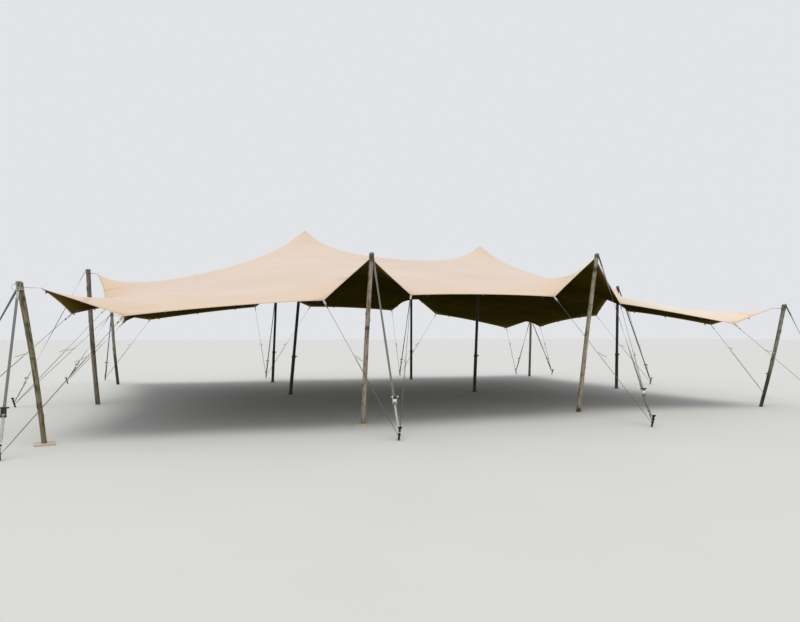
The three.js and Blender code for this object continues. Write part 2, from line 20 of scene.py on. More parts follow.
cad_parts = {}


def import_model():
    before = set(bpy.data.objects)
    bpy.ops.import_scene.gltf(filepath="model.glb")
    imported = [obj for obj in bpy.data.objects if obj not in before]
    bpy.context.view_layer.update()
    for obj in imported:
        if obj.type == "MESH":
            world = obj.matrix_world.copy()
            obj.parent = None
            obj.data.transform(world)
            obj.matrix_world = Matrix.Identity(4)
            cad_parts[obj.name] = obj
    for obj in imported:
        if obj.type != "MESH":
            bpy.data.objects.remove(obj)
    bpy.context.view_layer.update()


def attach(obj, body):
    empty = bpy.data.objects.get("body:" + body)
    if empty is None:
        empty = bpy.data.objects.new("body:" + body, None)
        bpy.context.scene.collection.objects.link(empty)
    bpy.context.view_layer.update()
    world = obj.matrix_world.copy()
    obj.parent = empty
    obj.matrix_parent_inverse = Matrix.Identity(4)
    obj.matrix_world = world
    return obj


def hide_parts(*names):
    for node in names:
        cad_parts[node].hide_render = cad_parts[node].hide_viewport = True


LOG = logging.getLogger("stretch_tent")

Colour = tuple[float, float, float]
Pair = tuple[float, float]
Section = Sequence[Pair]
Inputs = dict[str | int, object]
Seats = dict[bmesh.types.BMVert, tuple[int, int]]
Thread = tuple[object, object, np.ndarray]
EAST, NORTH, UP = Vector((1.0, 0.0, 0.0)), Vector((0.0, 1.0, 0.0)), Vector((0.0, 0.0, 1.0))
TURN = 2 * math.pi
MERGE = 1e-5

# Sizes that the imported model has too
CLOTH_THICKNESS = 0.005
CLOTH_BELOW_TOP = 0.08
CLOTH_FROM_POLE = 0.006
EDGE_ARC_RADIUS = 11.0
PEAK_RADIUS = 0.2
PEAK_DROP = 0.15
PEAK_CURVE = 1.12
BAY_ACROSS = 4.85
BAY_DEEP = 5.3
BAY_STATIONS = (0.0, 0.04, 0.12, 0.2, 0.35, 0.5, 0.65, 0.8, 0.88, 0.96, 1.0)
STEPS_BETWEEN = (4, 6, 6, 9, 9, 9, 9, 6, 6, 4)
LOW_TIE_STATIONS = (3, 7)
RIDGE_ACROSS = (2.5, 1.6)
RIDGE_DEEP = (0.75, 1.6)
RIDGE_CORNER = (3.5, 0.56)
TIMBER_CROOK = 0.022
LOWER_TUBE_RADIUS = 0.046
UPPER_TUBE_RADIUS = 0.04
BOARD_HEIGHT = 0.025
STAKE_LEAN = 0.3
GUY_RING_HEIGHT = 0.085
TOUCH = 0.0003


class Body(Enum):
    """The bodies that the pieces ride on."""

    TENT = "tent"
    LEFT_HANDLE = "left_ratchet_handle"
    RIGHT_HANDLE = "right_ratchet_handle"


class Slot(Enum):
    """The record's material slots."""

    CLOTH = "canopy_cloth"
    TIMBER = "pole_timber"
    PAINT = "pole_paint"
    BOARD = "board_wood"
    WEBBING = "webbing"
    HANDLE = "handle_steel"
    STAKE = "stake_steel"
    ROPE = "guy_rope"


class Edge(Enum):
    """The four edges of the cloth, each with the way that it faces."""

    FRONT = (0, -1)
    BACK = (0, 1)
    LEFT = (-1, 0)
    RIGHT = (1, 0)


# The tent's plan


@dataclass(frozen=True)
class PolePlan:
    """Where a pole stands, where its top leans to, and what it is made of."""

    name: str
    foot: Pair
    top: tuple[float, float, float]
    radii: Pair | None = None
    bend: float = 0.0
    board: Pair | None = None
    inside: bool = False
    inward: Pair = (0.0, 0.0)
    bands: tuple[Pair, ...] = ()

    def axis(self, height: float) -> Vector:
        """Finds the middle of the pole at a height.

        Args:
            height: Metres above the ground.

        Returns:
            The point on the pole's axis.
        """
        share = height / self.top[2]
        bow = TIMBER_CROOK * math.sin(math.pi * share) if self.radii else 0.0
        turn = math.radians(self.bend)
        x = self.foot[0] + (self.top[0] - self.foot[0]) * share + bow * math.cos(turn)
        y = self.foot[1] + (self.top[1] - self.foot[1]) * share + bow * math.sin(turn)
        return Vector((x, y, height))

    def radius(self, height: float) -> float:
        """Finds the pole's radius above any collar."""
        low, high = self.radii or (UPPER_TUBE_RADIUS, UPPER_TUBE_RADIUS)
        return low + (high - low) * height / self.top[2]

    def cloth_point(self) -> Vector:
        """Finds where the cloth's edge meets the pole's inward side."""
        height = self.top[2] - CLOTH_BELOW_TOP
        return self.axis(height) + Vector((*self.inward, 0.0)) * (self.radius(height) + CLOTH_FROM_POLE)


POLES = {
    pole.name: pole
    for pole in (
        PolePlan("front_left", (-7.148, -5.99), (-7.513, -6.04, 2.38), (0.034, 0.043), 20,
                 board=(0.2, 0.0), bands=((1.26, 0.016), (2.3, 0.07))),
        PolePlan("front_left_middle", (-2.23, -5.64), (-2.3, -6.4, 2.99), (0.042, 0.037), 110,
                 board=(-0.15, -0.035), inward=(0, 1), bands=((2.93, 0.10), (1.72, 0.035))),
        PolePlan("front_right_middle", (2.51, -5.37), (2.528, -6.02, 3.24), (0.046, 0.04), 200,
                 inward=(0, 1), bands=((2.92, 0.05), (0.03, 0.06))),
        PolePlan("front_right", (6.89, -5.97), (7.29, -6.29, 2.29), (0.036, 0.043), 310,
                 bands=((0.42, 0.46),)),
        PolePlan("left_middle", (-7.15, -0.59), (-7.41, -0.59, 3.13), (0.05, 0.047), 200),
        PolePlan("centre_left", (-2.58, 0.33), (-2.24, 0.21, 4.44), inside=True),
        PolePlan("centre_right", (2.47, -0.59), (2.64, -0.65, 4.14), inside=True),
        PolePlan("right_middle", (6.95, -1.09), (7.05, -1.09, 3.08), inward=(-1, 0)),
        PolePlan("back_left", (-7.34, 5.4), (-7.59, 5.59, 2.35), (0.044, 0.045), 160, bands=((0.4, 0.6),)),
        PolePlan("back_left_middle", (-2.5, 4.67), (-2.35, 5.0, 3.16), inward=(0, -1)),
        PolePlan("back_right_middle", (2.41, 4.4), (2.55, 4.75, 3.2), inward=(0, -1)),
        PolePlan("back_right", (7.31, 4.4), (7.54, 4.63, 2.25), (0.046, 0.04), 250),
    )
}

POLE_ROWS = (
    ("front_left", "front_left_middle", "front_right_middle", "front_right"),
    ("left_middle", "centre_left", "centre_right", "right_middle"),
    ("back_left", "back_left_middle", "back_right_middle", "back_right"),
)

TIPS = {
    "front_left": Vector((-7.25, -5.9, 2.29)),
    "front_right": Vector((7.05, -6.2, 2.19)),
    "left_middle": Vector((-7.215, -0.59, 3.01)),
    "back_left": Vector((-7.4, 5.35, 2.24)),
    "back_right": Vector((7.35, 4.5, 2.17)),
}

LOW_TIES = {
    Edge.FRONT: ((-6.12, -6.1, 1.89), (-3.12, -6.4, 2.17), (-1.6, -6.4, 2.29),
                 (1.33, -6.3, 2.33), (3.25, -5.8, 2.26), (5.92, -6.2, 1.84)),
    Edge.BACK: ((-6.41, 5.2, 2.1), (-3.09, 4.8, 2.55), (-1.215, 4.8, 2.59),
                (1.74, 4.6, 2.49), (3.47, 4.6, 2.38), (6.43, 4.6, 1.87)),
    Edge.LEFT: ((-7.05, -4.7, 1.96), (-6.92, -1.4, 2.2), (-6.95, 0.4, 2.2), (-7.15, 4.3, 1.95)),
    Edge.RIGHT: ((6.75, -4.8, 1.85), (6.75, -1.9, 2.28), (7.1, 0.0, 2.22), (7.25, 3.5, 1.91)),
}


@dataclass(frozen=True)
class StakePlan:
    """Where a stake stands, which way it leans, and what it holds."""

    name: str
    at: Pair
    pole: str
    edge: Edge
    ties: tuple[int, ...]
    handle: Body | None = None
    lower: bool = False
    pale: bool = False
    twist: float = 0.6
    turn_late: float = 1.0
    head_cord: float = 0.0

    def axis(self, height: float) -> Vector:
        """Finds the middle of the leaning stake at a height."""
        lean, slope = self.edge.value, STAKE_LEAN * height
        return Vector((self.at[0] + lean[0] * slope, self.at[1] + lean[1] * slope, height))


STAKES = (
    StakePlan("front_left_front", (-7.44, -7.05), "front_left", Edge.FRONT, (0,),
              pale=True, twist=0.5, head_cord=0.12),
    StakePlan("front_left_side", (-9.0, -4.1), "front_left", Edge.LEFT, (0,), lower=True),
    StakePlan("front_left_middle", (-2.15, -7.345), "front_left_middle", Edge.FRONT, (1, 2),
              handle=Body.LEFT_HANDLE, pale=True, twist=-1.2, turn_late=0.6),
    StakePlan("front_right_middle", (2.45, -7.54), "front_right_middle", Edge.FRONT, (3, 4),
              handle=Body.RIGHT_HANDLE, twist=1.1),
    StakePlan("front_right_front", (7.0, -7.58), "front_right", Edge.FRONT, (5,)),
    StakePlan("front_right_side", (9.0, -4.3), "front_right", Edge.RIGHT, (0,), lower=True),
    StakePlan("left_middle", (-8.79, -0.62), "left_middle", Edge.LEFT, (1, 2)),
    StakePlan("right_middle", (9.0, -0.2), "right_middle", Edge.RIGHT, (1, 2)),
    StakePlan("back_left_side", (-8.93, 6.26), "back_left", Edge.LEFT, (3,), lower=True),
    StakePlan("back_left_back", (-7.98, 7.58), "back_left", Edge.BACK, (0,)),
    StakePlan("back_left_middle", (-2.45, 6.9), "back_left_middle", Edge.BACK, (1, 2)),
    StakePlan("back_right_middle", (2.65, 6.3), "back_right_middle", Edge.BACK, (3, 4)),
    StakePlan("back_right_back", (7.55, 5.8), "back_right", Edge.BACK, (5,)),
    StakePlan("back_right_side", (8.65, 4.9), "back_right", Edge.RIGHT, (3,), lower=True),
)


# Finishes


class NodeBoard:
    """Builds one procedural material, node by node."""

    def __init__(self, name: str) -> None:
        """Starts a material with a plain shader."""
        self.material = bpy.data.materials.new(name)
        self.material.use_nodes = True
        self.tree = self.material.node_tree

    def feed(self, node: bpy.types.Node, inputs: Inputs) -> None:
        """Links or sets a node's inputs.

        Args:
            node: The node.
            inputs: A socket, a colour or a number for the name or place of each input.
        """
        for key, value in inputs.items():
            socket = node.inputs[key]
            if isinstance(value, bpy.types.NodeSocket):
                self.tree.links.new(value, socket)
            else:
                socket.default_value = (*value, 1.0) if socket.type == "RGBA" else value

    def made(self, kind: str, output: str | int, inputs: Inputs, **settings: object) -> object:
        """Adds a node.

        Args:
            kind: The shader node's type.
            output: The name or place of the output.
            inputs: What the inputs are fed with.
            **settings: Properties of the node.

        Returns:
            The output socket.
        """
        node = self.tree.nodes.new(f"ShaderNode{kind}")
        for key, value in settings.items():
            setattr(node, key, value)
        self.feed(node, inputs)
        return node.outputs[output]

    def coordinates(self) -> object:
        """Gives the object's own coordinates, which are the tent's."""
        return self.made("TexCoord", "Object", {})

    def surface(self) -> object:
        """Gives the piece's UV map, in metres across and along it."""
        return self.made("UVMap", "UV", {}, uv_map="lie")

    def attribute(self, name: str, output: str = "Fac") -> object:
        """Gives a point attribute of the mesh."""
        return self.made("Attribute", output, {}, attribute_name=name)

    def parts(self, vector: object) -> Iterable[object]:
        """Splits a vector into its three numbers."""
        return self.made("SeparateXYZ", "X", {"Vector": vector}).node.outputs

    def noise(self, place: object, scale: float | Colour, detail: float, rough: float) -> object:
        """Adds a noise texture.

        Args:
            place: The coordinates.
            scale: Waves for each unit, or a factor for each axis.
            detail: Octaves.
            rough: How strong the fine octaves are.

        Returns:
            The factor socket.
        """
        if isinstance(scale, tuple):
            place, scale = self.made("Mapping", "Vector", {"Vector": place, "Scale": scale}), 1.0
        inputs = {"Vector": place, "Scale": scale, "Detail": detail, "Roughness": rough}
        return self.made("TexNoise", "Fac", inputs)

    def sum(self, operation: str, *values: object) -> object:
        """Adds a math node."""
        return self.made("Math", 0, dict(enumerate(values)), operation=operation)

    def fade(self, value: object, start: float, end: float) -> object:
        """Fades smoothly from 0 at one value to 1 at another."""
        inputs = {"Value": value, "From Min": start, "From Max": end}
        return self.made("MapRange", "Result", inputs, interpolation_type="SMOOTHSTEP")

    def line(self, coordinate: object, spacing: float, width: float) -> object:
        """Draws soft lines, of a half width, at every multiple of a spacing in metres."""
        return self.fade(self.sum("PINGPONG", coordinate, spacing / 2), width, 0.0)

    def border(self, u: object, v: object) -> object:
        """Measures how far a point of the cloth is from its border, in metres of flat cloth."""
        lengths = ((u, BAY_ACROSS * 3), (v, BAY_DEEP * 2))
        near = (self.sum("MINIMUM", at, self.sum("SUBTRACT", whole, at)) for at, whole in lengths)
        return self.sum("MINIMUM", *near)

    def ramp(self, factor: object, *stops: tuple[float, Colour]) -> object:
        """Adds a colour ramp.

        Args:
            factor: Where on the ramp to read.
            *stops: Places and their colours.

        Returns:
            The colour socket.
        """
        colour = self.made("ValToRGB", "Color", {"Fac": factor})
        elements = colour.node.color_ramp.elements
        for k, (place, tone) in enumerate(stops):
            element = elements[k] if k < 2 else elements.new(place)
            element.position = place
            element.color = (*tone, 1.0)
        return colour

    def mix(self, factor: object, first: object, second: object) -> object:
        """Mixes two colours, by the second one's share."""
        return self.made("Mix", 2, {0: factor, 6: first, 7: second}, data_type="RGBA")

    def tint(self, colour: object, factor: object, share: float, tone: Colour) -> object:
        """Lays a share of a tone over a colour where a factor says."""
        return self.mix(self.sum("MULTIPLY", factor, share), colour, tone)

    def bump(self, height: object, distance: float, strength: float, **under: object) -> object:
        """Adds a bump of a height in metres, over another normal where one is given."""
        inputs = {"Height": height, "Distance": distance, "Strength": strength}
        return self.made("Bump", "Normal", inputs | under)

    def finish(self, colour: object, rough: object, **values: object) -> bpy.types.Material:
        """Feeds the shader.

        Args:
            colour: The base colour.
            rough: The roughness.
            **values: Other inputs, with underscores for spaces.

        Returns:
            The finished material.
        """
        others = {key.replace("_", " "): value for key, value in values.items()}
        self.feed(self.tree.nodes["Principled BSDF"], {"Base Color": colour, "Roughness": rough, **others})
        return self.material


def darker(tone: Colour, share: float) -> Colour:
    """Darkens a tone to a share of itself."""
    return tuple(share * part for part in tone)


@dataclass(frozen=True)
class StretchCloth:
    """The upper face: matt sand-coloured knit with sewn panels, a stitched hem and fine tension lines, with
    painted light: a paler right wing, a warm painted glow near the edges and painted shade in the creases.
    """

    sand: Colour = (0.655, 0.500, 0.388)
    pale: Colour = (0.715, 0.570, 0.457)
    # painted light: a warm glow near the edges, where light comes through the cloth
    painted_edge_glow: Colour = (0.740, 0.540, 0.350)
    # painted light: the paler tone of the right wing, where it catches more sky light
    painted_sky_light: Colour = (0.830, 0.715, 0.580)
    seam: Colour = (0.40, 0.28, 0.21)
    stain: Colour = (0.55, 0.42, 0.32)
    panel: float = 1.5
    stitch_from_edge: float = 0.035
    # where the painted light on the right wing starts and ends, in X
    painted_sky_light_from: float = 3.4
    painted_sky_light_to: float = 5.4

    def build(self) -> bpy.types.Material:
        """Makes the material."""
        board = NodeBoard("stretch_cloth_sand")
        place = board.surface()
        u, v, _ = board.parts(place)
        x, _, _ = board.parts(board.coordinates())
        border = board.border(u, v)
        seam = board.line(v, self.panel, 0.016)
        drawn_lines = board.noise(place, (0.16, 2.6, 1.0), 3.0, 0.5)
        crease = board.fade(board.sum("ABSOLUTE", board.sum("SUBTRACT", drawn_lines, 0.5)), 0.010, 0.0)
        hem = board.fade(border, 0.06, 0.045)
        stitch = board.line(board.sum("SUBTRACT", border, self.stitch_from_edge), 2.0, 0.004)
        broad = board.noise(place, (0.35, 0.9, 1.0), 5.0, 0.6)
        dust = board.fade(board.noise(board.coordinates(), 2.6, 6.0, 0.7), 0.60, 0.82)
        colour = board.ramp(broad, (0.3, self.sand), (0.7, self.pale))
        # painted light: the cloth turns paler towards +X, as the right wing catches more light
        colour = board.tint(colour, board.fade(x, self.painted_sky_light_from, self.painted_sky_light_to), 0.85, self.painted_sky_light)
        colour = board.tint(colour, dust, 0.25, self.stain)
        # painted light: the warm glow within 0.8 m of the border
        colour = board.tint(colour, board.fade(border, 0.8, 0.0), 0.35, self.painted_edge_glow)
        # painted shade: the crease lines are darkened with the seam tone
        colour = board.tint(colour, crease, 0.12, self.seam)
        colour = board.tint(colour, seam, 0.3, self.seam)
        colour = board.tint(colour, hem, 0.25, self.pale)
        colour = board.tint(colour, stitch, 0.35, self.seam)
        near = board.attribute("near")
        rays = board.sum("SINE", board.sum("MULTIPLY", board.attribute("turn"), 26.0))
        rings = board.sum("SINE", board.sum("MULTIPLY", board.sum("ADD", near, broad), 60.0))
        pulled = board.sum("ADD", rays, board.sum("MULTIPLY", rings, 0.7))
        folds = board.bump(board.sum("MULTIPLY", pulled, board.fade(near, 1.3, 0.1)), 0.003, 0.5)
        grooves = board.sum("ADD", board.sum("ADD", seam, stitch), board.sum("MULTIPLY", crease, 0.6))
        sewn = board.bump(board.sum("SUBTRACT", hem, grooves), 0.002, 0.8, Normal=folds)
        knit = board.bump(board.noise(place, (900.0, 420.0, 1.0), 2.0, 0.6), 0.0004, 0.35, Normal=sewn)
        sheen = {"Sheen_Weight": 0.45, "Sheen_Roughness": 0.4}
        return board.finish(colour, 0.86, Normal=knit, Specular_IOR_Level=0.2, **sheen)


@dataclass(frozen=True)
class ClothUnderside:
    """The lower face: knit painted very dark brown as the shade under the cloth, with a painted warm glow
    near the lit hem.
    """

    # painted shade: the whole lower face is a very dark brown that stands in for the shade under the cloth
    dark: Colour = (0.032, 0.0235, 0.0020)
    brown: Colour = (0.054, 0.041, 0.0035)
    painted_glow_and_seam_tone: Colour = (0.20, 0.115, 0.030)
    panel: float = 1.5

    def build(self) -> bpy.types.Material:
        """Makes the material."""
        board = NodeBoard("stretch_cloth_underside")
        place = board.surface()
        u, v, _ = board.parts(place)
        seam = board.line(v, self.panel, 0.014)
        # painted shade: the dark ramp that fills the lower face
        colour = board.ramp(board.noise(place, 0.8, 5.0, 0.6), (0.3, self.dark), (0.7, self.brown))
        # painted light: a warm glow near the lit hem
        colour = board.tint(colour, board.fade(board.border(u, v), 0.22, 0.0), 0.55, self.painted_glow_and_seam_tone)
        # the seams take the same warm tone
        colour = board.tint(colour, seam, 0.5, self.painted_glow_and_seam_tone)
        sewn = board.bump(seam, 0.002, 0.8)
        knit = board.bump(board.noise(place, (700.0, 420.0, 1.0), 2.0, 0.6), 0.0004, 0.3, Normal=sewn)
        return board.finish(colour, 0.9, Normal=knit, Specular_IOR_Level=0.0)


@dataclass(frozen=True)
class Bark:
    """Weathered round timber: long grain, bark patches, knots and damp bands, in each pole's own tones."""

    name: str
    light: Colour
    mid: Colour
    dark: Colour
    seed: float
    patches: float

    def build(self) -> bpy.types.Material:
        """Makes the material."""
        board = NodeBoard(f"timber_{self.name}")
        shift = (self.seed, self.seed * 2.0, self.seed * 3.0)
        grain = board.attribute("grain", "Vector")
        place = board.made("Mapping", "Vector", {"Vector": grain, "Location": shift})
        streaks = board.noise(place, (55.0, 55.0, 3.0), 6.0, 0.65)
        blotches = board.noise(place, (13.0, 13.0, 4.2), 5.0, 0.62)
        flakes = board.fade(board.noise(place, (30.0, 30.0, 11.0), 5.0, 0.7), 0.52, 0.62)
        cracks = board.fade(board.noise(place, (90.0, 90.0, 1.6), 3.0, 0.5), 0.38, 0.30)
        bare = board.fade(blotches, self.patches - 0.05, self.patches + 0.07)
        tones = ((0.30, self.dark), (0.43, self.mid), (0.54, self.light), (0.72, self.light))
        colour = board.tint(board.ramp(streaks, *tones), bare, 0.75, self.light)
        colour = board.tint(colour, flakes, 0.55, self.dark)
        colour = board.mix(board.attribute("knot"), colour, darker(self.dark, 0.35))
        colour = board.mix(board.attribute("damp"), colour, darker(self.dark, 0.5))
        colour = board.tint(colour, cracks, 0.6, darker(self.dark, 0.25))
        relief = board.sum("SUBTRACT", board.sum("ADD", flakes, streaks), cracks)
        return board.finish(colour, 0.88, Normal=board.bump(relief, 0.0035, 0.8))


@dataclass(frozen=True)
class SawnWood:
    """A pale sawn board or stick with straight grain and worn edges."""

    name: str
    light: Colour
    dark: Colour
    stretch: Colour = (4.0, 60.0, 60.0)

    def build(self) -> bpy.types.Material:
        """Makes the material."""
        board = NodeBoard(f"wood_{self.name}")
        place = board.attribute("grain", "Vector")
        rings = board.noise(place, self.stretch, 4.0, 0.6)
        marks = board.fade(board.noise(place, 22.0, 5.0, 0.7), 0.56, 0.72)
        colour = board.ramp(rings, (0.3, self.dark), (0.62, self.light))
        colour = board.tint(colour, marks, 0.4, self.dark)
        return board.finish(colour, 0.8, Normal=board.bump(rings, 0.0008, 0.7))


@dataclass(frozen=True)
class PaintedTube:
    """Dark brown-black painted steel tube, mottled, with rubbed edges and dust near the ground."""

    paint: Colour = (0.020, 0.016, 0.011)
    lighter: Colour = (0.048, 0.038, 0.026)
    dust: Colour = (0.12, 0.10, 0.07)

    def build(self) -> bpy.types.Material:
        """Makes the material."""
        board = NodeBoard("painted_tube")
        place = board.coordinates()
        _, _, height = board.parts(place)
        mottle = board.noise(place, (9.0, 9.0, 3.0), 6.0, 0.65)
        scuff = board.fade(board.noise(place, (40.0, 40.0, 12.0), 6.0, 0.8), 0.62, 0.74)
        colour = board.ramp(mottle, (0.35, self.paint), (0.68, self.lighter))
        colour = board.tint(colour, scuff, 0.5, self.dust)
        colour = board.tint(colour, board.fade(height, 0.35, 0.0), 0.35, self.dust)
        rough = board.sum("MULTIPLY_ADD", mottle, 0.35, 0.3)
        return board.finish(colour, rough, Normal=board.bump(mottle, 0.0006, 0.4), Metallic=0.25)


@dataclass(frozen=True)
class Webbing:
    """Woven polyester webbing: herringbone ribs, darker selvedge and a coloured body."""

    name: str
    body: Colour
    thread: Colour

    def build(self) -> bpy.types.Material:
        """Makes the material."""
        board = NodeBoard(f"webbing_{self.name}")
        u, v, _ = board.parts(board.surface())
        ribs = board.line(board.sum("ADD", v, board.sum("PINGPONG", u, 0.006)), 0.0036, 0.0016)
        warp = board.line(u, 0.0022, 0.0008)
        soil = board.fade(board.noise(board.coordinates(), 7.0, 6.0, 0.7), 0.5, 0.75)
        colour = board.tint(self.body, ribs, 0.6, self.thread)
        colour = board.tint(colour, soil, 0.35, darker(self.body, 0.45))
        ribbed = board.bump(board.sum("ADD", ribs, warp), 0.0007, 0.6)
        return board.finish(colour, 0.75, Normal=ribbed, Sheen_Weight=0.15)


@dataclass(frozen=True)
class PlatedSteel:
    """Plated or blackened steel with rolling marks, rubbed spots and dull patches."""

    name: str
    bright: Colour
    dull: Colour
    metal: float = 0.9
    rough: float = 0.32

    def build(self) -> bpy.types.Material:
        """Makes the material."""
        board = NodeBoard(f"steel_{self.name}")
        place = board.coordinates()
        marks = board.noise(place, (420.0, 420.0, 60.0), 4.0, 0.7)
        colour = board.ramp(board.noise(place, 45.0, 5.0, 0.6), (0.35, self.dull), (0.65, self.bright))
        rough = board.sum("MULTIPLY_ADD", marks, 0.25, self.rough - 0.1)
        return board.finish(colour, rough, Normal=board.bump(marks, 0.0002, 0.4), Metallic=self.metal)


@dataclass(frozen=True)
class ForgedIron:
    """Black painted forged bar with hammer marks, rust at worn spots and earth near the ground."""

    black: Colour = (0.010, 0.010, 0.011)
    rust: Colour = (0.105, 0.045, 0.020)
    earth: Colour = (0.10, 0.085, 0.05)

    def build(self) -> bpy.types.Material:
        """Makes the material."""
        board = NodeBoard("forged_iron")
        place = board.coordinates()
        _, _, height = board.parts(place)
        dents = board.noise(place, 60.0, 4.0, 0.5)
        worn = board.fade(board.noise(place, 110.0, 6.0, 0.75), 0.60, 0.70)
        colour = board.tint(self.black, worn, 0.45, self.rust)
        colour = board.tint(colour, board.fade(height, 0.05, 0.0), 0.6, self.earth)
        rough = board.sum("MULTIPLY_ADD", dents, 0.4, 0.35)
        return board.finish(colour, rough, Normal=board.bump(dents, 0.0015, 0.6), Metallic=0.35)


@dataclass(frozen=True)
class Braid:
    """Braided cord: crossing strands drawn along the rope's own surface."""

    name: str
    light: Colour
    dark: Colour
    strand: float = 0.01

    def build(self) -> bpy.types.Material:
        """Makes the material."""
        board = NodeBoard(f"braid_{self.name}")
        u, v, _ = board.parts(board.surface())
        slant = board.sum("MULTIPLY", u, 1.4)
        ways = (board.sum(way, slant, v) for way in ("ADD", "SUBTRACT"))
        strands = board.sum("MAXIMUM", *(board.line(way, self.strand, 0.0035) for way in ways))
        soil = board.fade(board.noise(board.coordinates(), 9.0, 5.0, 0.7), 0.5, 0.8)
        colour = board.tint(board.mix(strands, self.dark, self.light), soil, 0.5, self.dark)
        return board.finish(colour, 0.85, Normal=board.bump(strands, 0.001, 0.7))


@dataclass(frozen=True)
class Rubber:
    """Matt moulded rubber or plastic with a fine grain."""

    name: str
    tone: Colour
    worn: Colour

    def build(self) -> bpy.types.Material:
        """Makes the material."""
        board = NodeBoard(f"rubber_{self.name}")
        place = board.coordinates()
        grain = board.noise(place, 800.0, 3.0, 0.6)
        rub = board.fade(board.noise(place, 60.0, 5.0, 0.7), 0.5, 0.75)
        return board.finish(
            board.tint(self.tone, rub, 0.6, self.worn), 0.6, Normal=board.bump(grain, 0.0003, 0.5)
        )


@dataclass(frozen=True)
class StudioFloor:
    """The plain pale floor."""

    tone: Colour = (0.62, 0.62, 0.60)

    def build(self) -> bpy.types.Material:
        """Makes the material."""
        board = NodeBoard("studio_floor")
        cloud = board.noise(board.coordinates(), 0.4, 4.0, 0.5)
        return board.finish(board.ramp(cloud, (0.3, darker(self.tone, 0.97)), (0.7, self.tone)), 0.9)


class Finishes:
    """All the tent's materials, each made once."""

    def __init__(self) -> None:
        """Makes every material."""
        self.cloth = StretchCloth().build()
        self.underside = ClothUnderside().build()
        self.hem = Webbing("hem", (0.74, 0.59, 0.47), (0.84, 0.71, 0.60)).build()
        self.barks = {bark.name: bark.build() for bark in BARKS}
        self.board = SawnWood("board", (0.62, 0.55, 0.44), (0.42, 0.35, 0.26)).build()
        self.stick = SawnWood("slider", (0.66, 0.62, 0.47), (0.42, 0.37, 0.25), (60.0, 60.0, 4.0)).build()
        self.tube = PaintedTube().build()
        self.grey = Webbing("grey", (0.150, 0.150, 0.148), (0.262, 0.260, 0.255)).build()
        self.pale = Webbing("pale", (0.42, 0.43, 0.40), (0.58, 0.59, 0.56)).build()
        self.slate = Webbing("slate", (0.030, 0.028, 0.023), (0.064, 0.060, 0.050)).build()
        self.cut = SawnWood("cut", (0.62, 0.56, 0.44), (0.40, 0.34, 0.24)).build()
        self.sling = Webbing("sling", (0.110, 0.095, 0.065), (0.190, 0.170, 0.125)).build()
        self.plate = PlatedSteel("white", (0.93, 0.93, 0.91), (0.84, 0.84, 0.82), 0.0, 0.45).build()
        self.zinc = PlatedSteel("zinc", (0.90, 0.90, 0.89), (0.66, 0.67, 0.67)).build()
        self.black_steel = PlatedSteel("black", (0.06, 0.06, 0.06), (0.03, 0.03, 0.03), 0.6, 0.45).build()
        self.iron = ForgedIron().build()
        self.white_cord = Braid("white", (0.72, 0.71, 0.66), (0.36, 0.35, 0.31)).build()
        self.guy = Braid("guy", (0.19, 0.185, 0.13), (0.08, 0.075, 0.05)).build()
        self.pale_grip = Rubber("pale", (0.55, 0.55, 0.53), (0.70, 0.70, 0.68)).build()
        self.black_grip = Rubber("black", (0.012, 0.012, 0.012), (0.04, 0.04, 0.04)).build()
        self.floor = StudioFloor().build()


BARKS = (
    Bark("front_left", (0.27, 0.24, 0.135), (0.135, 0.112, 0.052), (0.045, 0.036, 0.016), 1.3, 0.56),
    Bark("front_left_middle", (0.50, 0.41, 0.32), (0.22, 0.15, 0.10), (0.070, 0.048, 0.034), 4.1, 0.49),
    Bark("front_right_middle", (0.50, 0.44, 0.32), (0.26, 0.21, 0.13), (0.075, 0.055, 0.035), 7.7, 0.46),
    Bark("front_right", (0.34, 0.33, 0.24), (0.17, 0.155, 0.10), (0.040, 0.034, 0.018), 9.2, 0.52),
    Bark("left_middle", (0.27, 0.23, 0.17), (0.125, 0.10, 0.07), (0.045, 0.038, 0.027), 12.9, 0.53),
    Bark("back_left", (0.36, 0.33, 0.25), (0.17, 0.145, 0.10), (0.045, 0.037, 0.023), 15.4, 0.52),
    Bark("back_right", (0.24, 0.20, 0.14), (0.115, 0.092, 0.060), (0.044, 0.037, 0.024), 18.8, 0.53),
)


# Mesh making


@dataclass(frozen=True)
class Stop:
    """One place on a sweep: its middle, the directions of the section's two axes, and the section's size."""

    middle: Vector
    across: Vector
    outward: Vector
    size: float = 1.0


def turned(first: Vector, second: Vector, turn: float) -> Vector:
    """Turns one unit direction towards another that is square to it."""
    return first * math.cos(turn) + second * math.sin(turn)


def round_section(radius: float, sides: int, start: float = 0.0, sweep: float = TURN) -> Section:
    """Draws a circle or an arc as points, anticlockwise."""
    turns = (start + sweep * k / sides for k in range(sides + (sweep < TURN)))
    return [(radius * math.cos(turn), radius * math.sin(turn)) for turn in turns]


def flat_section(width: float, thickness: float) -> Section:
    """Draws a ribbon's section with rounded edges.

    Args:
        width: Across the ribbon.
        thickness: Through it.

    Returns:
        The points, anticlockwise.
    """
    half, edge = width / 2, thickness / 2
    nose = half - 0.6 * edge
    upper = [(nose + 0.3 * edge, edge * 0.8), (nose - 0.4 * edge, edge)]
    upper += [(-x, y) for x, y in reversed(upper)]
    return [(half, 0.0), *upper, (-half, 0.0), *((x, -y) for x, y in reversed(upper))]


def run_along(points: Sequence[Sequence[float]]) -> list[float]:
    """Measures how far along a path each of its points is."""
    return list(accumulate(map(math.dist, points, points[1:]), initial=0.0))


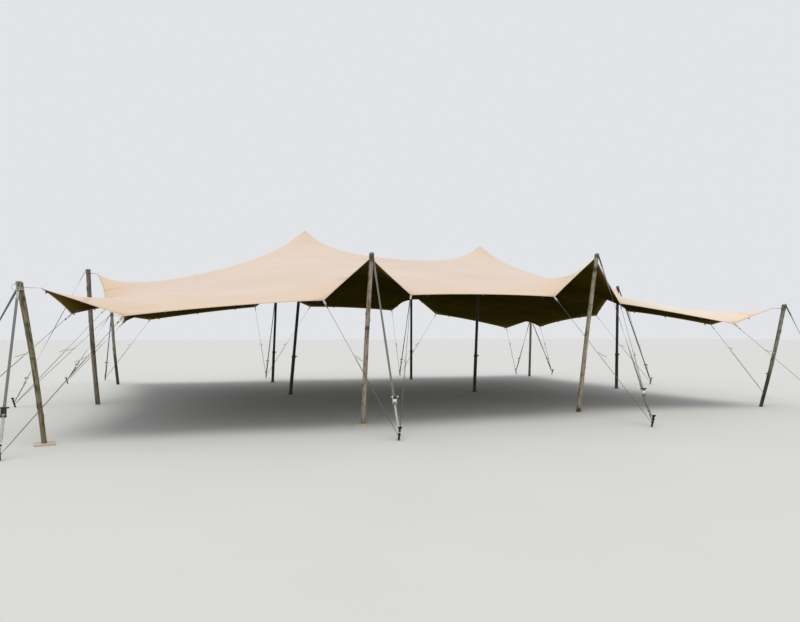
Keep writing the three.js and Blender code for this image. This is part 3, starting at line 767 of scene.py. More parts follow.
def stops_along(points: Sequence[Vector], outward: Vector, closed: bool = False) -> list[Stop]:
    """Sets a section upright along a path.

    Args:
        points: The path.
        outward: Roughly where the section's second axis points.
        closed: Whether the path runs back to its start.

    Returns:
        A stop for each point.
    """
    count = len(points)
    stops = []
    for k, point in enumerate(points):
        before = points[(k - 1) % count] if closed or k > 0 else point
        after = points[(k + 1) % count] if closed or k < count - 1 else point
        tangent = (after - before).normalized()
        across = tangent.cross(outward)
        if across.length < 1e-4:
            across = stops[-1].across if stops else tangent.orthogonal()
        across.normalize()
        stops.append(Stop(point, across, across.cross(tangent).normalized()))
    return stops


class Shape:
    """A bmesh in the making, with a UV map in metres and the point attributes that finishes read."""

    def __init__(self) -> None:
        """Starts empty."""
        self.bm = bmesh.new()
        self.uv = self.bm.loops.layers.uv.new("lie")
        self.grain = self.bm.verts.layers.float_vector.new("grain")
        self.knot = self.bm.verts.layers.float.new("knot")
        self.damp = self.bm.verts.layers.float.new("damp")

    def grid(self, across: Sequence[float], along: Sequence[float]) -> Seats:
        """Adds a flat grid with its UV map.

        Args:
            across: The U of each column.
            along: The V of each row.

        Returns:
            The column and row of each vertex.
        """
        columns, rows = len(across) - 1, len(along) - 1
        made = bmesh.ops.create_grid(self.bm, x_segments=columns, y_segments=rows, size=1.0)
        seats = {}
        for vert in made["verts"]:
            seats[vert] = (round((vert.co.x + 1) / 2 * columns), round((vert.co.y + 1) / 2 * rows))
        for face in {face for vert in seats for face in vert.link_faces}:
            for loop in face.loops:
                i, j = seats[loop.vert]
                loop[self.uv].uv = (across[i], along[j])
        return seats

    def sweep(
        self,
        stops: Sequence[Stop],
        section: Section,
        closed: bool = False,
        swell: Callable[[int, int], float] = lambda i, j: 1.0,
    ) -> Shape:
        """Sweeps a closed section along stops, as a grid rolled up into a tube.

        Args:
            stops: Where the section stands.
            section: The section's points.
            closed: Whether the last stop joins the first.
            swell: A factor on the section for each section point and stop.

        Returns:
            This shape.
        """
        run = run_along([stop.middle for stop in (*stops, *stops[:closed])])
        seats = self.grid(run_along([*section, section[0]]), run)
        for vert, (i, j) in seats.items():
            stop = stops[j % len(stops)]
            x, y = section[i % len(section)]
            grow = stop.size * swell(i % len(section), j)
            vert.co = stop.middle + stop.across * (x * grow) + stop.outward * (y * grow)
            vert[self.grain] = Vector((x * grow, y * grow, run[j]))
        bmesh.ops.remove_doubles(self.bm, verts=list(seats), dist=MERGE)
        return self

    def closed_up(self) -> Shape:
        """Fills the open ends and turns every face outwards.

        Returns:
            This shape.
        """
        rims = [edge for edge in self.bm.edges if edge.is_boundary]
        if rims:
            bmesh.ops.holes_fill(self.bm, edges=rims, sides=0)
        bmesh.ops.recalc_face_normals(self.bm, faces=self.bm.faces)
        return self

    def lathe(self, profile: Section, sides: int) -> Shape:
        """Spins a profile about +Z.

        Args:
            profile: Radius and height of each point, from one end of the axis to the other.
            sides: Steps round.

        Returns:
            This shape.
        """
        verts = [self.bm.verts.new((radius, 0.0, height)) for radius, height in profile]
        edges = [self.bm.edges.new(pair) for pair in zip(verts, verts[1:])]
        turn = {"cent": (0, 0, 0), "axis": UP, "angle": TURN, "steps": sides}
        bmesh.ops.spin(self.bm, geom=verts + edges, use_merge=True, use_duplicate=False, **turn)
        bmesh.ops.remove_doubles(self.bm, verts=self.bm.verts, dist=MERGE)
        bmesh.ops.recalc_face_normals(self.bm, faces=self.bm.faces)
        return self

    def block(self, low: Sequence[float], high: Sequence[float], bevel: float) -> Shape:
        """Adds a box between two corners, with its edges bevelled.

        Args:
            low: Lowest corner.
            high: Highest corner.
            bevel: The bevel's width.

        Returns:
            This shape.
        """
        verts = bmesh.ops.create_cube(self.bm, size=1.0)["verts"]
        bmesh.ops.scale(self.bm, vec=Vector(high) - Vector(low), verts=verts)
        bmesh.ops.translate(self.bm, vec=(Vector(high) + Vector(low)) / 2, verts=verts)
        edges = list({edge for vert in verts for edge in vert.link_edges})
        form = {"offset_type": "OFFSET", "segments": 2, "profile": 0.5, "affect": "EDGES", "material": -1}
        bmesh.ops.bevel(self.bm, geom=edges, offset=bevel, clamp_overlap=True, **form)
        return self

    def plate(self, outline: Section, low: float, high: float) -> Shape:
        """Extrudes an outline in the YZ plane along X.

        Args:
            outline: The plate's corners as Y and Z.
            low: Where it starts in X.
            high: Where it ends.

        Returns:
            This shape.
        """
        face = self.bm.faces.new([self.bm.verts.new((low, y, z)) for y, z in outline])
        grown = bmesh.ops.extrude_face_region(self.bm, geom=[face])["geom"]
        verts = [part for part in grown if isinstance(part, bmesh.types.BMVert)]
        bmesh.ops.translate(self.bm, vec=(high - low, 0, 0), verts=verts)
        bmesh.ops.recalc_face_normals(self.bm, faces=self.bm.faces)
        return self

    def grained(self) -> Shape:
        """Keeps each point's present place as its place in the grain."""
        for vert in self.bm.verts:
            vert[self.grain] = vert.co
        return self

    def moved(self, place: Matrix) -> Shape:
        """Moves the whole shape."""
        bmesh.ops.transform(self.bm, matrix=place, verts=self.bm.verts)
        return self

    def leaned(self, plan: PolePlan | StakePlan) -> Shape:
        """Leans an upright shape along the axis of a pole or stake."""
        for vert in self.bm.verts:
            vert.co += plan.axis(vert.co.z) - UP * vert.co.z
        return self

    def add(self, other: Shape, finish: int = 0) -> Shape:
        """Takes another shape in.

        Args:
            other: The shape, which is used up.
            finish: The material index of its faces.

        Returns:
            This shape.
        """
        for face in other.bm.faces:
            face.material_index = finish
        mesh = bpy.data.meshes.new("passing")
        other.bm.to_mesh(mesh)
        other.bm.free()
        self.bm.from_mesh(mesh)
        bpy.data.meshes.remove(mesh)
        return self

    def piece(
        self,
        name: str,
        finishes: Sequence[bpy.types.Material],
        slot: Slot,
        body: Body = Body.TENT,
        replaces: Sequence[str] = (),
        smooth: float = 40.0,
    ) -> bpy.types.Object:
        """Makes the object, dresses it and sets it on its body.

        Args:
            name: The piece's name.
            finishes: Its materials, by index.
            slot: The record's material slot; not used.
            body: The body that it rides on.
            replaces: CAD nodes that it stands for.
            smooth: Edges sharper than this many degrees stay sharp.

        Returns:
            The object.
        """
        mesh = bpy.data.meshes.new(name)
        for edge in self.bm.edges:
            if len(edge.link_faces) == 2:
                edge.smooth = edge.calc_face_angle(0.0) < math.radians(smooth)
        for face in self.bm.faces:
            face.smooth = True
        self.bm.to_mesh(mesh)
        self.bm.free()
        for finish in finishes:
            mesh.materials.append(finish)
        thing = bpy.data.objects.new(name, mesh)
        bpy.context.scene.collection.objects.link(thing)
        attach(thing, body.value)
        if replaces:
            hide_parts(*replaces)
        LOG.info("%s: %d faces on %s", name, len(mesh.polygons), body.value)
        return thing


def swept(stops: Sequence[Stop], section: Section, closed: bool = False) -> Shape:
    """Makes a closed solid along stops."""
    return Shape().sweep(stops, section, closed).closed_up()


def rope(points: Sequence[Vector], radius: float, sides: int, closed: bool = False) -> Shape:
    """Makes a round rope or bar along a path, or a ring."""
    steep = abs((points[1] - points[0]).normalized().z) >= 0.9
    return swept(stops_along(points, NORTH if steep else UP, closed), round_section(radius, sides), closed)


def ribbon(points: Sequence[Vector], outward: Vector, width: float, thickness: float) -> Shape:
    """Makes a webbing ribbon along a path, with its face roughly outward."""
    return swept(stops_along(points, outward), flat_section(width, thickness))


def straight(start: Vector, end: Vector, steps: int) -> list[Vector]:
    """Divides a straight line into steps."""
    return [start.lerp(end, k / steps) for k in range(steps + 1)]


def laid(profile: Section, sides: int, height: float = 0.0) -> Shape:
    """Spins a profile of radius and X about a line along X at a height."""
    place = Matrix.Translation(UP * height) @ Matrix.Rotation(math.pi / 2, 4, "Y")
    return Shape().lathe(profile, sides).moved(place)


def cylinder(
    radius: float, low: float, high: float, sides: int = 20, bevel: float = 0.001, height: float = 0.0
) -> Shape:
    """Makes a round bar along X with softened ends.

    Args:
        radius: The bar's radius.
        low: Where it starts in X.
        high: Where it ends.
        sides: Sides round.
        bevel: How far its end edges are taken back.
        height: Where it lies in Z.

    Returns:
        The shape.
    """
    face = radius - bevel
    start = [(0.0, low), (face, low), (radius, low + bevel)]
    return laid([*start, (radius, high - bevel), (face, high), (0.0, high)], sides, height)


def seed_of(name: str) -> int:
    """Makes a steady number out of a name."""
    return sum(map(ord, name))


# The cloth


@dataclass
class Membrane:
    """The cloth's settled shape on a fine grid: every free point lies where its threads balance."""

    start_height: float = 2.8
    tolerance: float = 1e-7
    most_rounds: int = 4000
    across: np.ndarray = field(init=False)
    deep: np.ndarray = field(init=False)
    points: np.ndarray = field(init=False)

    def __post_init__(self) -> None:
        """Lays the grid out and settles it."""
        self.across = self.stations(3, BAY_ACROSS)
        self.deep = self.stations(2, BAY_DEEP)
        self.points = self.settled()

    @staticmethod
    def stations(bays: int, length: float) -> np.ndarray:
        """Places the grid lines along one direction of the flat cloth.

        Args:
            bays: How many bays there are.
            length: A bay's length of flat cloth.

        Returns:
            Each line's place in metres.
        """
        parts = zip(BAY_STATIONS, BAY_STATIONS[1:], STEPS_BETWEEN)
        bay = np.concatenate([np.linspace(low, high, steps, endpoint=False) for low, high, steps in parts])
        return np.append(np.concatenate([(k + bay) * length for k in range(bays)]), bays * length)

    @staticmethod
    def line_of(bay: int, station: int = 0) -> int:
        """Finds the grid line at a station of a bay."""
        return bay * sum(STEPS_BETWEEN) + sum(STEPS_BETWEEN[:station])

    def tie_seat(self, edge: Edge, k: int) -> tuple[int, int]:
        """Finds the grid place of a low tie.

        Args:
            edge: The cloth's edge.
            k: The tie's number along it.

        Returns:
            Its row and column.
        """
        line = self.line_of(k // 2, LOW_TIE_STATIONS[k % 2])
        x, y = edge.value
        if y:
            return (len(self.deep) - 1 if y > 0 else 0, line)
        return (line, len(self.across) - 1 if x > 0 else 0)

    def at(self, j: int, i: int) -> Vector:
        """Gives one point of the cloth's upper face."""
        return Vector(self.points[j, i])

    def held(self) -> dict[tuple[int, int], Vector]:
        """Collects the grid points that poles and guy ropes hold, by row and column.

        Returns:
            The held places.
        """
        found: dict[tuple[int, int], Vector] = {}
        for down, names in enumerate(POLE_ROWS):
            for over, name in enumerate(names):
                seat = (self.line_of(down), self.line_of(over))
                if POLES[name].inside:
                    found.update(self.peak(POLES[name], *seat))
                else:
                    found[seat] = TIPS.get(name) or POLES[name].cloth_point()
        for edge, ties in LOW_TIES.items():
            found.update({self.tie_seat(edge, k): Vector(tie) for k, tie in enumerate(ties)})
        return found

    @staticmethod
    def peak(pole: PolePlan, j: int, i: int) -> dict[tuple[int, int], Vector]:
        """Shapes the cloth over an inside pole's cap, as a soft cone.

        Args:
            pole: The inside pole.
            j: Its grid row.
            i: Its grid column.

        Returns:
            The held points over the cap.
        """
        reach = STEPS_BETWEEN[0]
        found = {}
        for down in range(-reach, reach + 1):
            for over in range(-reach, reach + 1):
                share = max(abs(down), abs(over)) / reach
                away = Vector((over, down, 0.0)).normalized()
                fall = PEAK_DROP * share**PEAK_CURVE
                found[j + down, i + over] = Vector(pole.top) + away * (PEAK_RADIUS * share) - UP * fall
        return found

    @staticmethod
    def ridge(gain_and_width: Pair, offset: np.ndarray) -> np.ndarray:
        """Works out the extra pull of threads at an offset from a line of poles."""
        gain, width = gain_and_width
        return gain * np.exp(-((offset / width) ** 2))

    def pulls(self) -> tuple[np.ndarray, np.ndarray]:
        """Works out how hard the threads pull, across the cloth and along its depth.

        Returns:
            The pulls by row and column, across and deep.
        """

        def widths(lines: np.ndarray, gain: np.ndarray) -> np.ndarray:
            """Finds each thread's share of the cloth, with the cord in its two outer threads.

            Args:
                lines: Each thread's place.
                gain: The factor on each thread's pull.

            Returns:
                The widths.
            """
            steps = np.diff(lines)
            shared = (np.append(steps, 0.0) + np.insert(steps, 0, 0.0)) / 2 * gain
            shared[[0, -1]] += EDGE_ARC_RADIUS
            return shared

        middle_row = 1 + self.ridge(RIDGE_ACROSS, self.deep - BAY_DEEP)
        pairs = 1 + sum(self.ridge(RIDGE_DEEP, self.across - k * BAY_ACROSS) for k in (1, 2))
        over = widths(self.deep, middle_row)[:, None] / np.diff(self.across)[None, :]
        down = widths(self.across, pairs)[None, :] / np.diff(self.deep)[:, None]
        return over, down

    def corner_pulls(self) -> np.ndarray:
        """Works out how hard the threads pull that fan out from a corner pole towards its peak.

        Returns:
            The pulls through the cells of the corner's bay, by row and column from the corner.
        """
        shares = self.across[: sum(STEPS_BETWEEN) + 1] / BAY_ACROSS
        middles = (shares[1:] + shares[:-1]) / 2
        over, down = np.meshgrid(np.diff(shares) * BAY_ACROSS, np.diff(shares) * BAY_DEEP)
        offset = (middles[None, :] - middles[:, None]) / 2 * math.hypot(BAY_ACROSS, BAY_DEEP)
        return self.ridge(RIDGE_CORNER, offset) * over * down / (over**2 + down**2)

    def threads(self) -> list[Thread]:
        """Lists the threads: where they start, where they end and how hard they pull.

        Returns:
            The threads across, the threads along the depth and the fans at the four corners.
        """
        over, down = self.pulls()
        found = [(np.s_[:, :-1], np.s_[:, 1:], over[..., None]), (np.s_[:-1], np.s_[1:], down[..., None])]
        fan = self.corner_pulls()[..., None]
        cells = np.arange(sum(STEPS_BETWEEN))
        rows = ((cells, 1), (len(self.deep) - 1 - cells, -1))
        columns = ((cells, 1), (len(self.across) - 1 - cells, -1))
        for row, down_step in rows:
            for column, over_step in columns:
                found.append((np.ix_(row, column), np.ix_(row + down_step, column + over_step), fan))
        return found

    def settled(self) -> np.ndarray:
        """Balances the threads by conjugate gradients.

        Returns:
            The grid's points, rows by columns by three.
        """
        shape = (len(self.deep), len(self.across))
        points = np.full((*shape, 3), self.start_height)
        points[..., 0] = self.across[None, :] - self.across[-1] / 2
        points[..., 1] = self.deep[:, None] - self.deep[-1] / 2
        free = np.ones((*shape, 1))
        for seat, spot in self.held().items():
            points[seat] = spot
            free[seat] = 0.0
        threads = self.threads()
        total = np.zeros((*shape, 1))
        for start, end, pull in threads:
            total[start] += pull
            total[end] += pull

        def unbalance(net: np.ndarray) -> np.ndarray:
            """Sums the pulls at each free point.

            Args:
                net: A value or a place for each grid point.

            Returns:
                The sums, 0 where a point is held.
            """
            out = np.zeros_like(net)
            for start, end, pull in threads:
                step = (net[end] - net[start]) * pull
                out[start] -= step
                out[end] += step
            return out * free

        rest = -unbalance(points)
        heading = rest / total
        strength = float((rest * heading).sum())
        target = strength * self.tolerance**2
        rounds = 0
        while strength > target and rounds < self.most_rounds:
            moved = unbalance(heading)
            share = strength / float((heading * moved).sum())
            points += share * heading
            rest -= share * moved
            eased = rest / total
            renewed = float((rest * eased).sum())
            heading = eased + (renewed / strength) * heading
            strength = renewed
            rounds += 1
        LOG.info("cloth settled in %d rounds", rounds)
        return points

    def support_fields(self) -> tuple[np.ndarray, np.ndarray]:
        """Measures each point's distance from the nearest support in flat cloth, and its bearing from it.

        Returns:
            The distances and the bearings.
        """
        supports = [(self.line_of(down), self.line_of(over)) for down in range(3) for over in range(4)]
        supports += [self.tie_seat(edge, k) for edge, ties in LOW_TIES.items() for k in range(len(ties))]
        u, v = np.meshgrid(self.across, self.deep)
        near = np.full(u.shape, np.inf)
        turn = np.zeros(u.shape)
        for j, i in supports:
            du, dv = u - self.across[i], v - self.deep[j]
            away = np.hypot(du, dv)
            turn = np.where(away < near, np.arctan2(dv, du), turn)
            near = np.minimum(near, away)
        return near, turn


@dataclass
class Canopy:
    """The stretched cloth with its hem, the webbing tabs at its low ties and its spare loops."""

    net: Membrane
    finishes: Finishes
    hem_width: float = 0.016
    hem_thickness: float = 0.011
    tab_width: float = 0.032
    tab_thickness: float = 0.003
    tab_lap: float = 0.12
    tab_length: float = 0.07
    fold: float = 0.004
    ring_radius: float = 0.015
    ring_wire: float = 0.003
    loop_spacing: float = 1.21
    loop_width: float = 0.03
    loop_thickness: float = 0.0022
    loop_drop: float = 0.028

    def build(self) -> None:
        """Makes the cloth, its hem, its tabs and its loops."""
        hem = self.hem()
        tabs = self.tabs()
        loops = self.anchor_loops()
        cloth = self.cloth()

    def cloth(self) -> bpy.types.Object:
        """Makes the cloth itself: one curved sheet, pale above and painted dark below as the shade under it.

        Returns:
            The cloth's object.
        """
        made = Shape()
        layers = [made.bm.verts.layers.float.new(name) for name in ("near", "turn")]
        fields = self.net.support_fields()
        for vert, (i, j) in made.grid(self.net.across, self.net.deep).items():
            vert.co = self.net.at(j, i)
            for layer, values in zip(layers, fields):
                vert[layer] = float(values[j, i])
        finishes = (self.finishes.cloth, self.finishes.underside, self.finishes.hem)
        cloth = made.piece("tent_cloth", finishes, Slot.CLOTH, replaces=["canopy"], smooth=180.0)
        wall = cloth.modifiers.new("thickness", "SOLIDIFY")
        wall.thickness = CLOTH_THICKNESS
        wall.offset = -1.0
        wall.material_offset = 1
        wall.material_offset_rim = 2
        return cloth

    def border(self) -> list[Vector]:
        """Walks round the cloth's border, anticlockwise from above."""
        net = self.net.points
        sides = (net[0, :-1], net[:-1, -1], net[-1, :0:-1], net[:0:-1, 0])
        return [Vector(spot) for side in sides for spot in side]

    def hem(self) -> bpy.types.Object:
        """Makes the sewn hem round the cloth's border.

        Returns:
            The hem's object.
        """
        path = [point - UP * (CLOTH_THICKNESS / 2) for point in self.border()]
        section = flat_section(self.hem_width, self.hem_thickness)
        shape = swept(stops_along(path, UP, closed=True), section, closed=True)
        return shape.piece("cloth_hem", (self.finishes.hem,), Slot.CLOTH)

    def tabs(self) -> bpy.types.Object:
        """Makes the webbing tabs with their rings, sewn under the hem at the low ties.

        Returns:
            The tabs, each in line with its rope.
        """
        shape = Shape()
        for plan in STAKES:
            for k in plan.ties:
                tie = Vector(LOW_TIES[plan.edge][k])
                inward = self.inward_at(plan.edge, k)
                rope_way = (plan.axis(GUY_RING_HEIGHT) - tie).normalized()
                face = rope_way.cross(inward).normalized().cross(rope_way)
                under = tie - UP * (CLOTH_THICKNESS + self.tab_thickness)
                low = under + rope_way * self.tab_length
                apart = face * self.fold
                path = [under + inward * self.tab_lap, under + inward * 0.02]
                path += [under + rope_way * (3 * self.fold) - apart, low - apart]
                path += [low + rope_way * self.fold, low + apart]
                path += [under + rope_way * (4 * self.fold) + apart]
                path += [under + rope_way * self.fold + UP * self.fold]
                shape.add(ribbon(path, face, self.tab_width, self.tab_thickness))
                shape.add(self.ring(low, rope_way), 1)
        return shape.piece("tie_tabs", (self.finishes.pale, self.finishes.zinc), Slot.CLOTH)

    def inward_at(self, edge: Edge, k: int, steps: int = 3) -> Vector:
        """Finds the direction along the cloth from a low tie inwards."""
        (j, i), (x, y) = self.net.tie_seat(edge, k), edge.value
        return (self.net.at(j - steps * y, i - steps * x) - self.net.at(j, i)).normalized()

    def anchor_loops(self) -> bpy.types.Object:
        """Makes the small spare webbing loops that are sewn under the hem all round.

        Returns:
            The loops.
        """
        shape = Shape()
        border = self.border()
        due = self.loop_spacing / 2
        for here, there, run in zip(border, border[1:], run_along(border)[1:]):
            if run < due:
                continue
            due += self.loop_spacing
            out = (there - here).cross(UP).normalized()
            top = here - UP * (CLOTH_THICKNESS + 0.002)
            sag = top - UP * (self.loop_drop * 0.6)
            path = [top - out * 0.035, top - out * 0.008, sag + out * 0.004, top - UP * self.loop_drop]
            path += [sag - out * 0.006, top - UP * 0.006 - out * 0.03]
            shape.add(ribbon(path, UP + out, self.loop_width, self.loop_thickness))
        return shape.piece("anchor_loops", (self.finishes.slate,), Slot.CLOTH)

    def ring(self, fold: Vector, rope_way: Vector) -> Shape:
        """Makes a wire ring held in a tab's fold, in the upright plane of its rope.

        Args:
            fold: Where the tab's fold is.
            rope_way: The direction of the rope.

        Returns:
            The ring.
        """
        upward = rope_way.cross(UP).cross(rope_way).normalized()
        centre = fold + rope_way * (self.ring_radius - self.fold)
        path = [centre + rope_way * x + upward * y for x, y in round_section(self.ring_radius, 20)]
        return rope(path, self.ring_wire, 6, closed=True)


# Poles


@dataclass
class TimberPole:
    """A natural round pole: lumpy, knotted, bowed and weathered, with cord wraps near its top."""

    plan: PolePlan
    finishes: Finishes
    sides: int = 28
    ring_spacing: float = 0.022
    lump: float = 0.055
    fine_lump: float = 0.022
    knot_rise: float = 0.20
    foot_flare: float = 0.064
    flare_height: float = 0.09
    top_wear: float = 0.10
    wear_height: float = 0.02
    knots_each_metre: int = 4
    smallest_knot: float = 0.012
    largest_knot: float = 0.032
    most_damp: float = 0.85
    wraps: int = 3
    wrap_radius: float = 0.003
    corner_drop: float = 0.035
    cut_rim: float = 0.022

    def __post_init__(self) -> None:
        """Sets the rings out and scatters the knots: height, bearing and size of each."""
        self.start = BOARD_HEIGHT + TOUCH if self.plan.board else 0.0
        self.top = self.plan.top[2]
        self.section = round_section(1.0, self.sides)
        self.seed = seed_of(self.plan.name)
        rings = int((self.top - self.start) / self.ring_spacing)
        self.heights = [self.start + (self.top - self.start) * k / rings for k in range(rings + 1)]
        rng = np.random.default_rng(self.seed)
        count = int(self.top * self.knots_each_metre)
        heights, turns = rng.uniform(0.15, self.top - 0.2, count), rng.uniform(0, TURN, count)
        sizes = rng.uniform(self.smallest_knot, self.largest_knot, count)
        self.knots = list(zip(heights, turns, sizes))

    def knot_at(self, i: int, j: int) -> float:
        """Measures how much of a knot is at a section point of a ring.

        Args:
            i: The section point.
            j: The ring.

        Returns:
            The knot's share, 0 to 1.
        """
        best = 0.0
        for height, turn, size in self.knots:
            rise = (self.heights[j] - height) / (size * 1.5)
            if abs(rise) <= 3:
                swing = (TURN * i / self.sides - turn + math.pi) % TURN - math.pi
                side = swing * self.plan.radius(self.heights[j]) / size
                best = max(best, math.exp(-(rise * rise + side * side)) * size / self.largest_knot)
        return best

    def swell(self, i: int, j: int) -> float:
        """Swells the section with lumps, knots, a flared foot and a worn top.

        Args:
            i: The section point.
            j: The ring.

        Returns:
            The factor on the radius.
        """
        height = self.heights[j]
        x, y = self.section[i]
        lumps = self.lump * noise.noise(Vector((x * 0.9 + self.seed, y * 0.9, height * 2.2)))
        fine = self.fine_lump * noise.noise(Vector((x * 2.5, y * 2.5 + self.seed, height * 9.0)))
        flare = self.foot_flare * math.exp(-(height - self.start) / self.flare_height)
        worn = self.top_wear * math.exp(-(self.top - height) / self.wear_height)
        return 1.0 + lumps + fine + self.knot_rise * self.knot_at(i, j) + flare - worn

    def build(self) -> None:
        """Makes the pole and its cord wraps."""
        stops = [Stop(self.plan.axis(z), EAST, NORTH, self.plan.radius(z)) for z in self.heights]
        shape = Shape().sweep(stops, self.section, swell=self.swell)
        for vert in shape.bm.verts:
            j = min(range(len(self.heights)), key=lambda k: abs(self.heights[k] - vert.co.z))
            away = vert.co - self.plan.axis(self.heights[j])
            i = round(math.atan2(away.y, away.x) / TURN * self.sides) % self.sides
            vert[shape.knot] = min(1.0, 0.9 * self.knot_at(i, j))
            vert[shape.damp] = self.damp_at(vert.co.z)
        shape.closed_up()
        for face in shape.bm.faces:
            face.material_index = int(face.calc_center_median().z > self.top - self.cut_rim)
        finishes = (self.finishes.barks[self.plan.name], self.finishes.cut)
        node = f"pole_{self.plan.name}"
        shape.piece(f"timber_{self.plan.name}", finishes, Slot.TIMBER, replaces=[node], smooth=50.0)
        self.cords()

    def damp_at(self, height: float) -> float:
        """Measures how dark the timber is at a height: near the ground and in its own bands.

        Args:
            height: Metres above the ground.

        Returns:
            The darkening, from 0 to the most there is.
        """
        ground = 0.35 * math.exp(-height / 0.12)
        band = sum(0.75 * math.exp(-(((height - middle) / half) ** 4)) for middle, half in self.plan.bands)
        drift = 0.12 * (1 + noise.noise(Vector((self.seed, 0.0, height * 1.4))))
        return min(self.most_damp, ground + band + drift)

    def cords(self, steps: int = 18) -> None:
        """Winds cord round the pole's top, and lashes a hanging tip of the cloth to it.

        Args:
            steps: Steps for each turn of the cord.
        """
        plan = self.plan
        tip = TIPS.get(plan.name)
        middle = (tip.z if tip else self.top - CLOTH_BELOW_TOP) + 0.002
        if "middle" not in plan.name:
            middle -= self.corner_drop
        pitch = self.wrap_radius * 2.15
        path = []
        for k in range(self.wraps * steps + 1):
            height = middle + pitch * (k / steps - self.wraps / 2)
            reach = (plan.radius(height) + self.wrap_radius) * (1.0 + self.lump * 0.6)
            path.append(plan.axis(height) + turned(EAST, NORTH, TURN * k / steps) * reach)
        shape = Shape().add(rope(path, self.wrap_radius, 8))
        for side in (-1, 1) if tip else ():
            shape.add(self.lashing(tip, middle, side))
        finish = self.finishes.white_cord if plan.name == "front_left" else self.finishes.guy
        shape.piece(f"cord_{plan.name}", (finish,), Slot.ROPE)

    def lashing(self, tip: Vector, height: float, side: int) -> Shape:
        """Runs one cord from the cloth's tip round the pole's far side.

        Args:
            tip: The cloth's tip.
            height: Where the cord meets the pole.
            side: Which side of the pole it passes, -1 or 1.

        Returns:
            The cord.
        """
        middle = self.plan.axis(height + 0.03)
        away = Vector((middle.x - tip.x, middle.y - tip.y, 0.0)).normalized()
        reach = self.plan.radius(height) * (1 + self.lump) + self.wrap_radius
        across = away.cross(UP) * side
        points = [tip + UP * 0.002 - away * 0.03, tip + UP * 0.006]
        points += [middle + across * x + away * y for x, y in round_section(reach, 8, sweep=math.pi / 2)]
        return rope(points, self.wrap_radius, 8)


@dataclass
class TubePole:
    """A two-part painted tube on a base plate, with a clamping collar, its knob and, inside, a domed cap."""

    plan: PolePlan
    finishes: Finishes
    sides: int = 40
    plate_radius: float = 0.085
    plate_height: float = 0.01
    plate_edge: float = 0.002
    bolt_circle: float = 0.068
    collar_radius: float = 0.054
    collar_low: float = 0.98
    collar_high: float = 1.05
    collar_edge: float = 0.003
    weld_top: float = 0.03
    cap_radius: float = 0.17
    cap_rim: float = 0.028
    cap_neck: float = 0.01

    def profile(self) -> list[Pair]:
        """Draws the tube's outline from the ground up: radius and height.

        Returns:
            The outline's points.
        """
        plate, thick, soft = self.plate_radius, self.plate_height, self.plate_edge
        low, high, edge, ring = self.collar_low, self.collar_high, self.collar_edge, self.collar_radius
        tube, stem, top = LOWER_TUBE_RADIUS, UPPER_TUBE_RADIUS, self.plan.top[2]
        outline = [(0.0, 0.0), (plate - soft, 0.0), (plate, soft), (plate, thick - soft)]
        outline += [(plate - soft, thick), (tube + 0.006, thick), (tube + 0.001, thick + 0.006)]
        outline += [(tube, self.weld_top)]
        outline += [(tube, self.weld_top + (low - self.weld_top) * k / 12) for k in range(1, 13)]
        outline += [(ring - edge, low), (ring, low + edge), (ring, low + 0.026), (ring - edge, low + 0.028)]
        outline += [(ring - edge, low + 0.034), (ring, low + 0.036), (ring, high - edge), (ring - edge, high)]
        outline += [(stem + 0.001, high), (stem, high + 0.002)]
        stem_top = top - (PEAK_DROP + 2 * self.cap_rim if self.plan.inside else 0.004)
        outline += [(stem, high + (stem_top - high) * k / 24) for k in range(1, 25)]
        return outline + (self.cap() if self.plan.inside else [(stem - 0.004, top), (0.0, top)])

    def cap(self, steps: int = 9) -> list[Pair]:
        """Draws the domed head that carries the cloth's peak.

        Args:
            steps: Steps up the dome.

        Returns:
            The outline's points.
        """
        top = self.plan.top[2]
        rim, neck = top - PEAK_DROP - self.cap_rim, UPPER_TUBE_RADIUS + self.cap_neck
        cover = CLOTH_THICKNESS * 1.3 + TOUCH
        outline = [(neck, rim - self.cap_rim), (neck + 0.01, rim - self.cap_rim + 0.006)]
        outline += [(self.cap_radius - 0.012, rim - 0.004), (self.cap_radius, rim + 0.004)]
        for k in range(1, steps + 1):
            share = 1.0 - k / steps
            fall = PEAK_DROP * (self.cap_radius * share / PEAK_RADIUS) ** PEAK_CURVE
            outline.append((self.cap_radius * share, top - cover - fall - 0.004 * share))
        return outline

    def build(self) -> None:
        """Makes the pole with the bolt heads on its plate and the knob on its collar."""
        shape = Shape().add(Shape().lathe(self.profile(), self.sides))
        for x, y in round_section(self.bolt_circle, 4, math.pi / 4):
            head = Shape().lathe(((0.0, 0.0), (0.009, 0.0), (0.009, 0.005), (0.007, 0.007), (0.0, 0.007)), 6)
            shape.add(head.moved(Matrix.Translation((x, y, self.plate_height - 0.0005))))
        shape.add(self.knob()).leaned(self.plan)
        node = f"pole_{self.plan.name}"
        shape.piece(f"tube_{self.plan.name}", (self.finishes.tube,), Slot.PAINT, replaces=[node])

    def knob(self) -> Shape:
        """Makes the collar's clamping screw with its fluted knob.

        Returns:
            The screw and knob.
        """
        grip = [(0.014, 0.074), (0.017, 0.078), (0.017, 0.09), (0.013, 0.095)]
        flutes = Shape().lathe([(0.0, grip[0][1]), *grip, (0.0, grip[-1][1])], 16)
        for vert in flutes.bm.verts:
            pinch = 0.95 - 0.05 * math.cos(8 * math.atan2(vert.co.y, vert.co.x))
            vert.co.xy *= pinch
        flutes.moved(Matrix.Rotation(math.pi / 2, 4, "Y"))
        middle = (self.collar_low + self.collar_high) / 2
        return cylinder(0.006, 0.04, 0.078, 12).add(flutes).moved(Matrix.Translation(UP * middle))


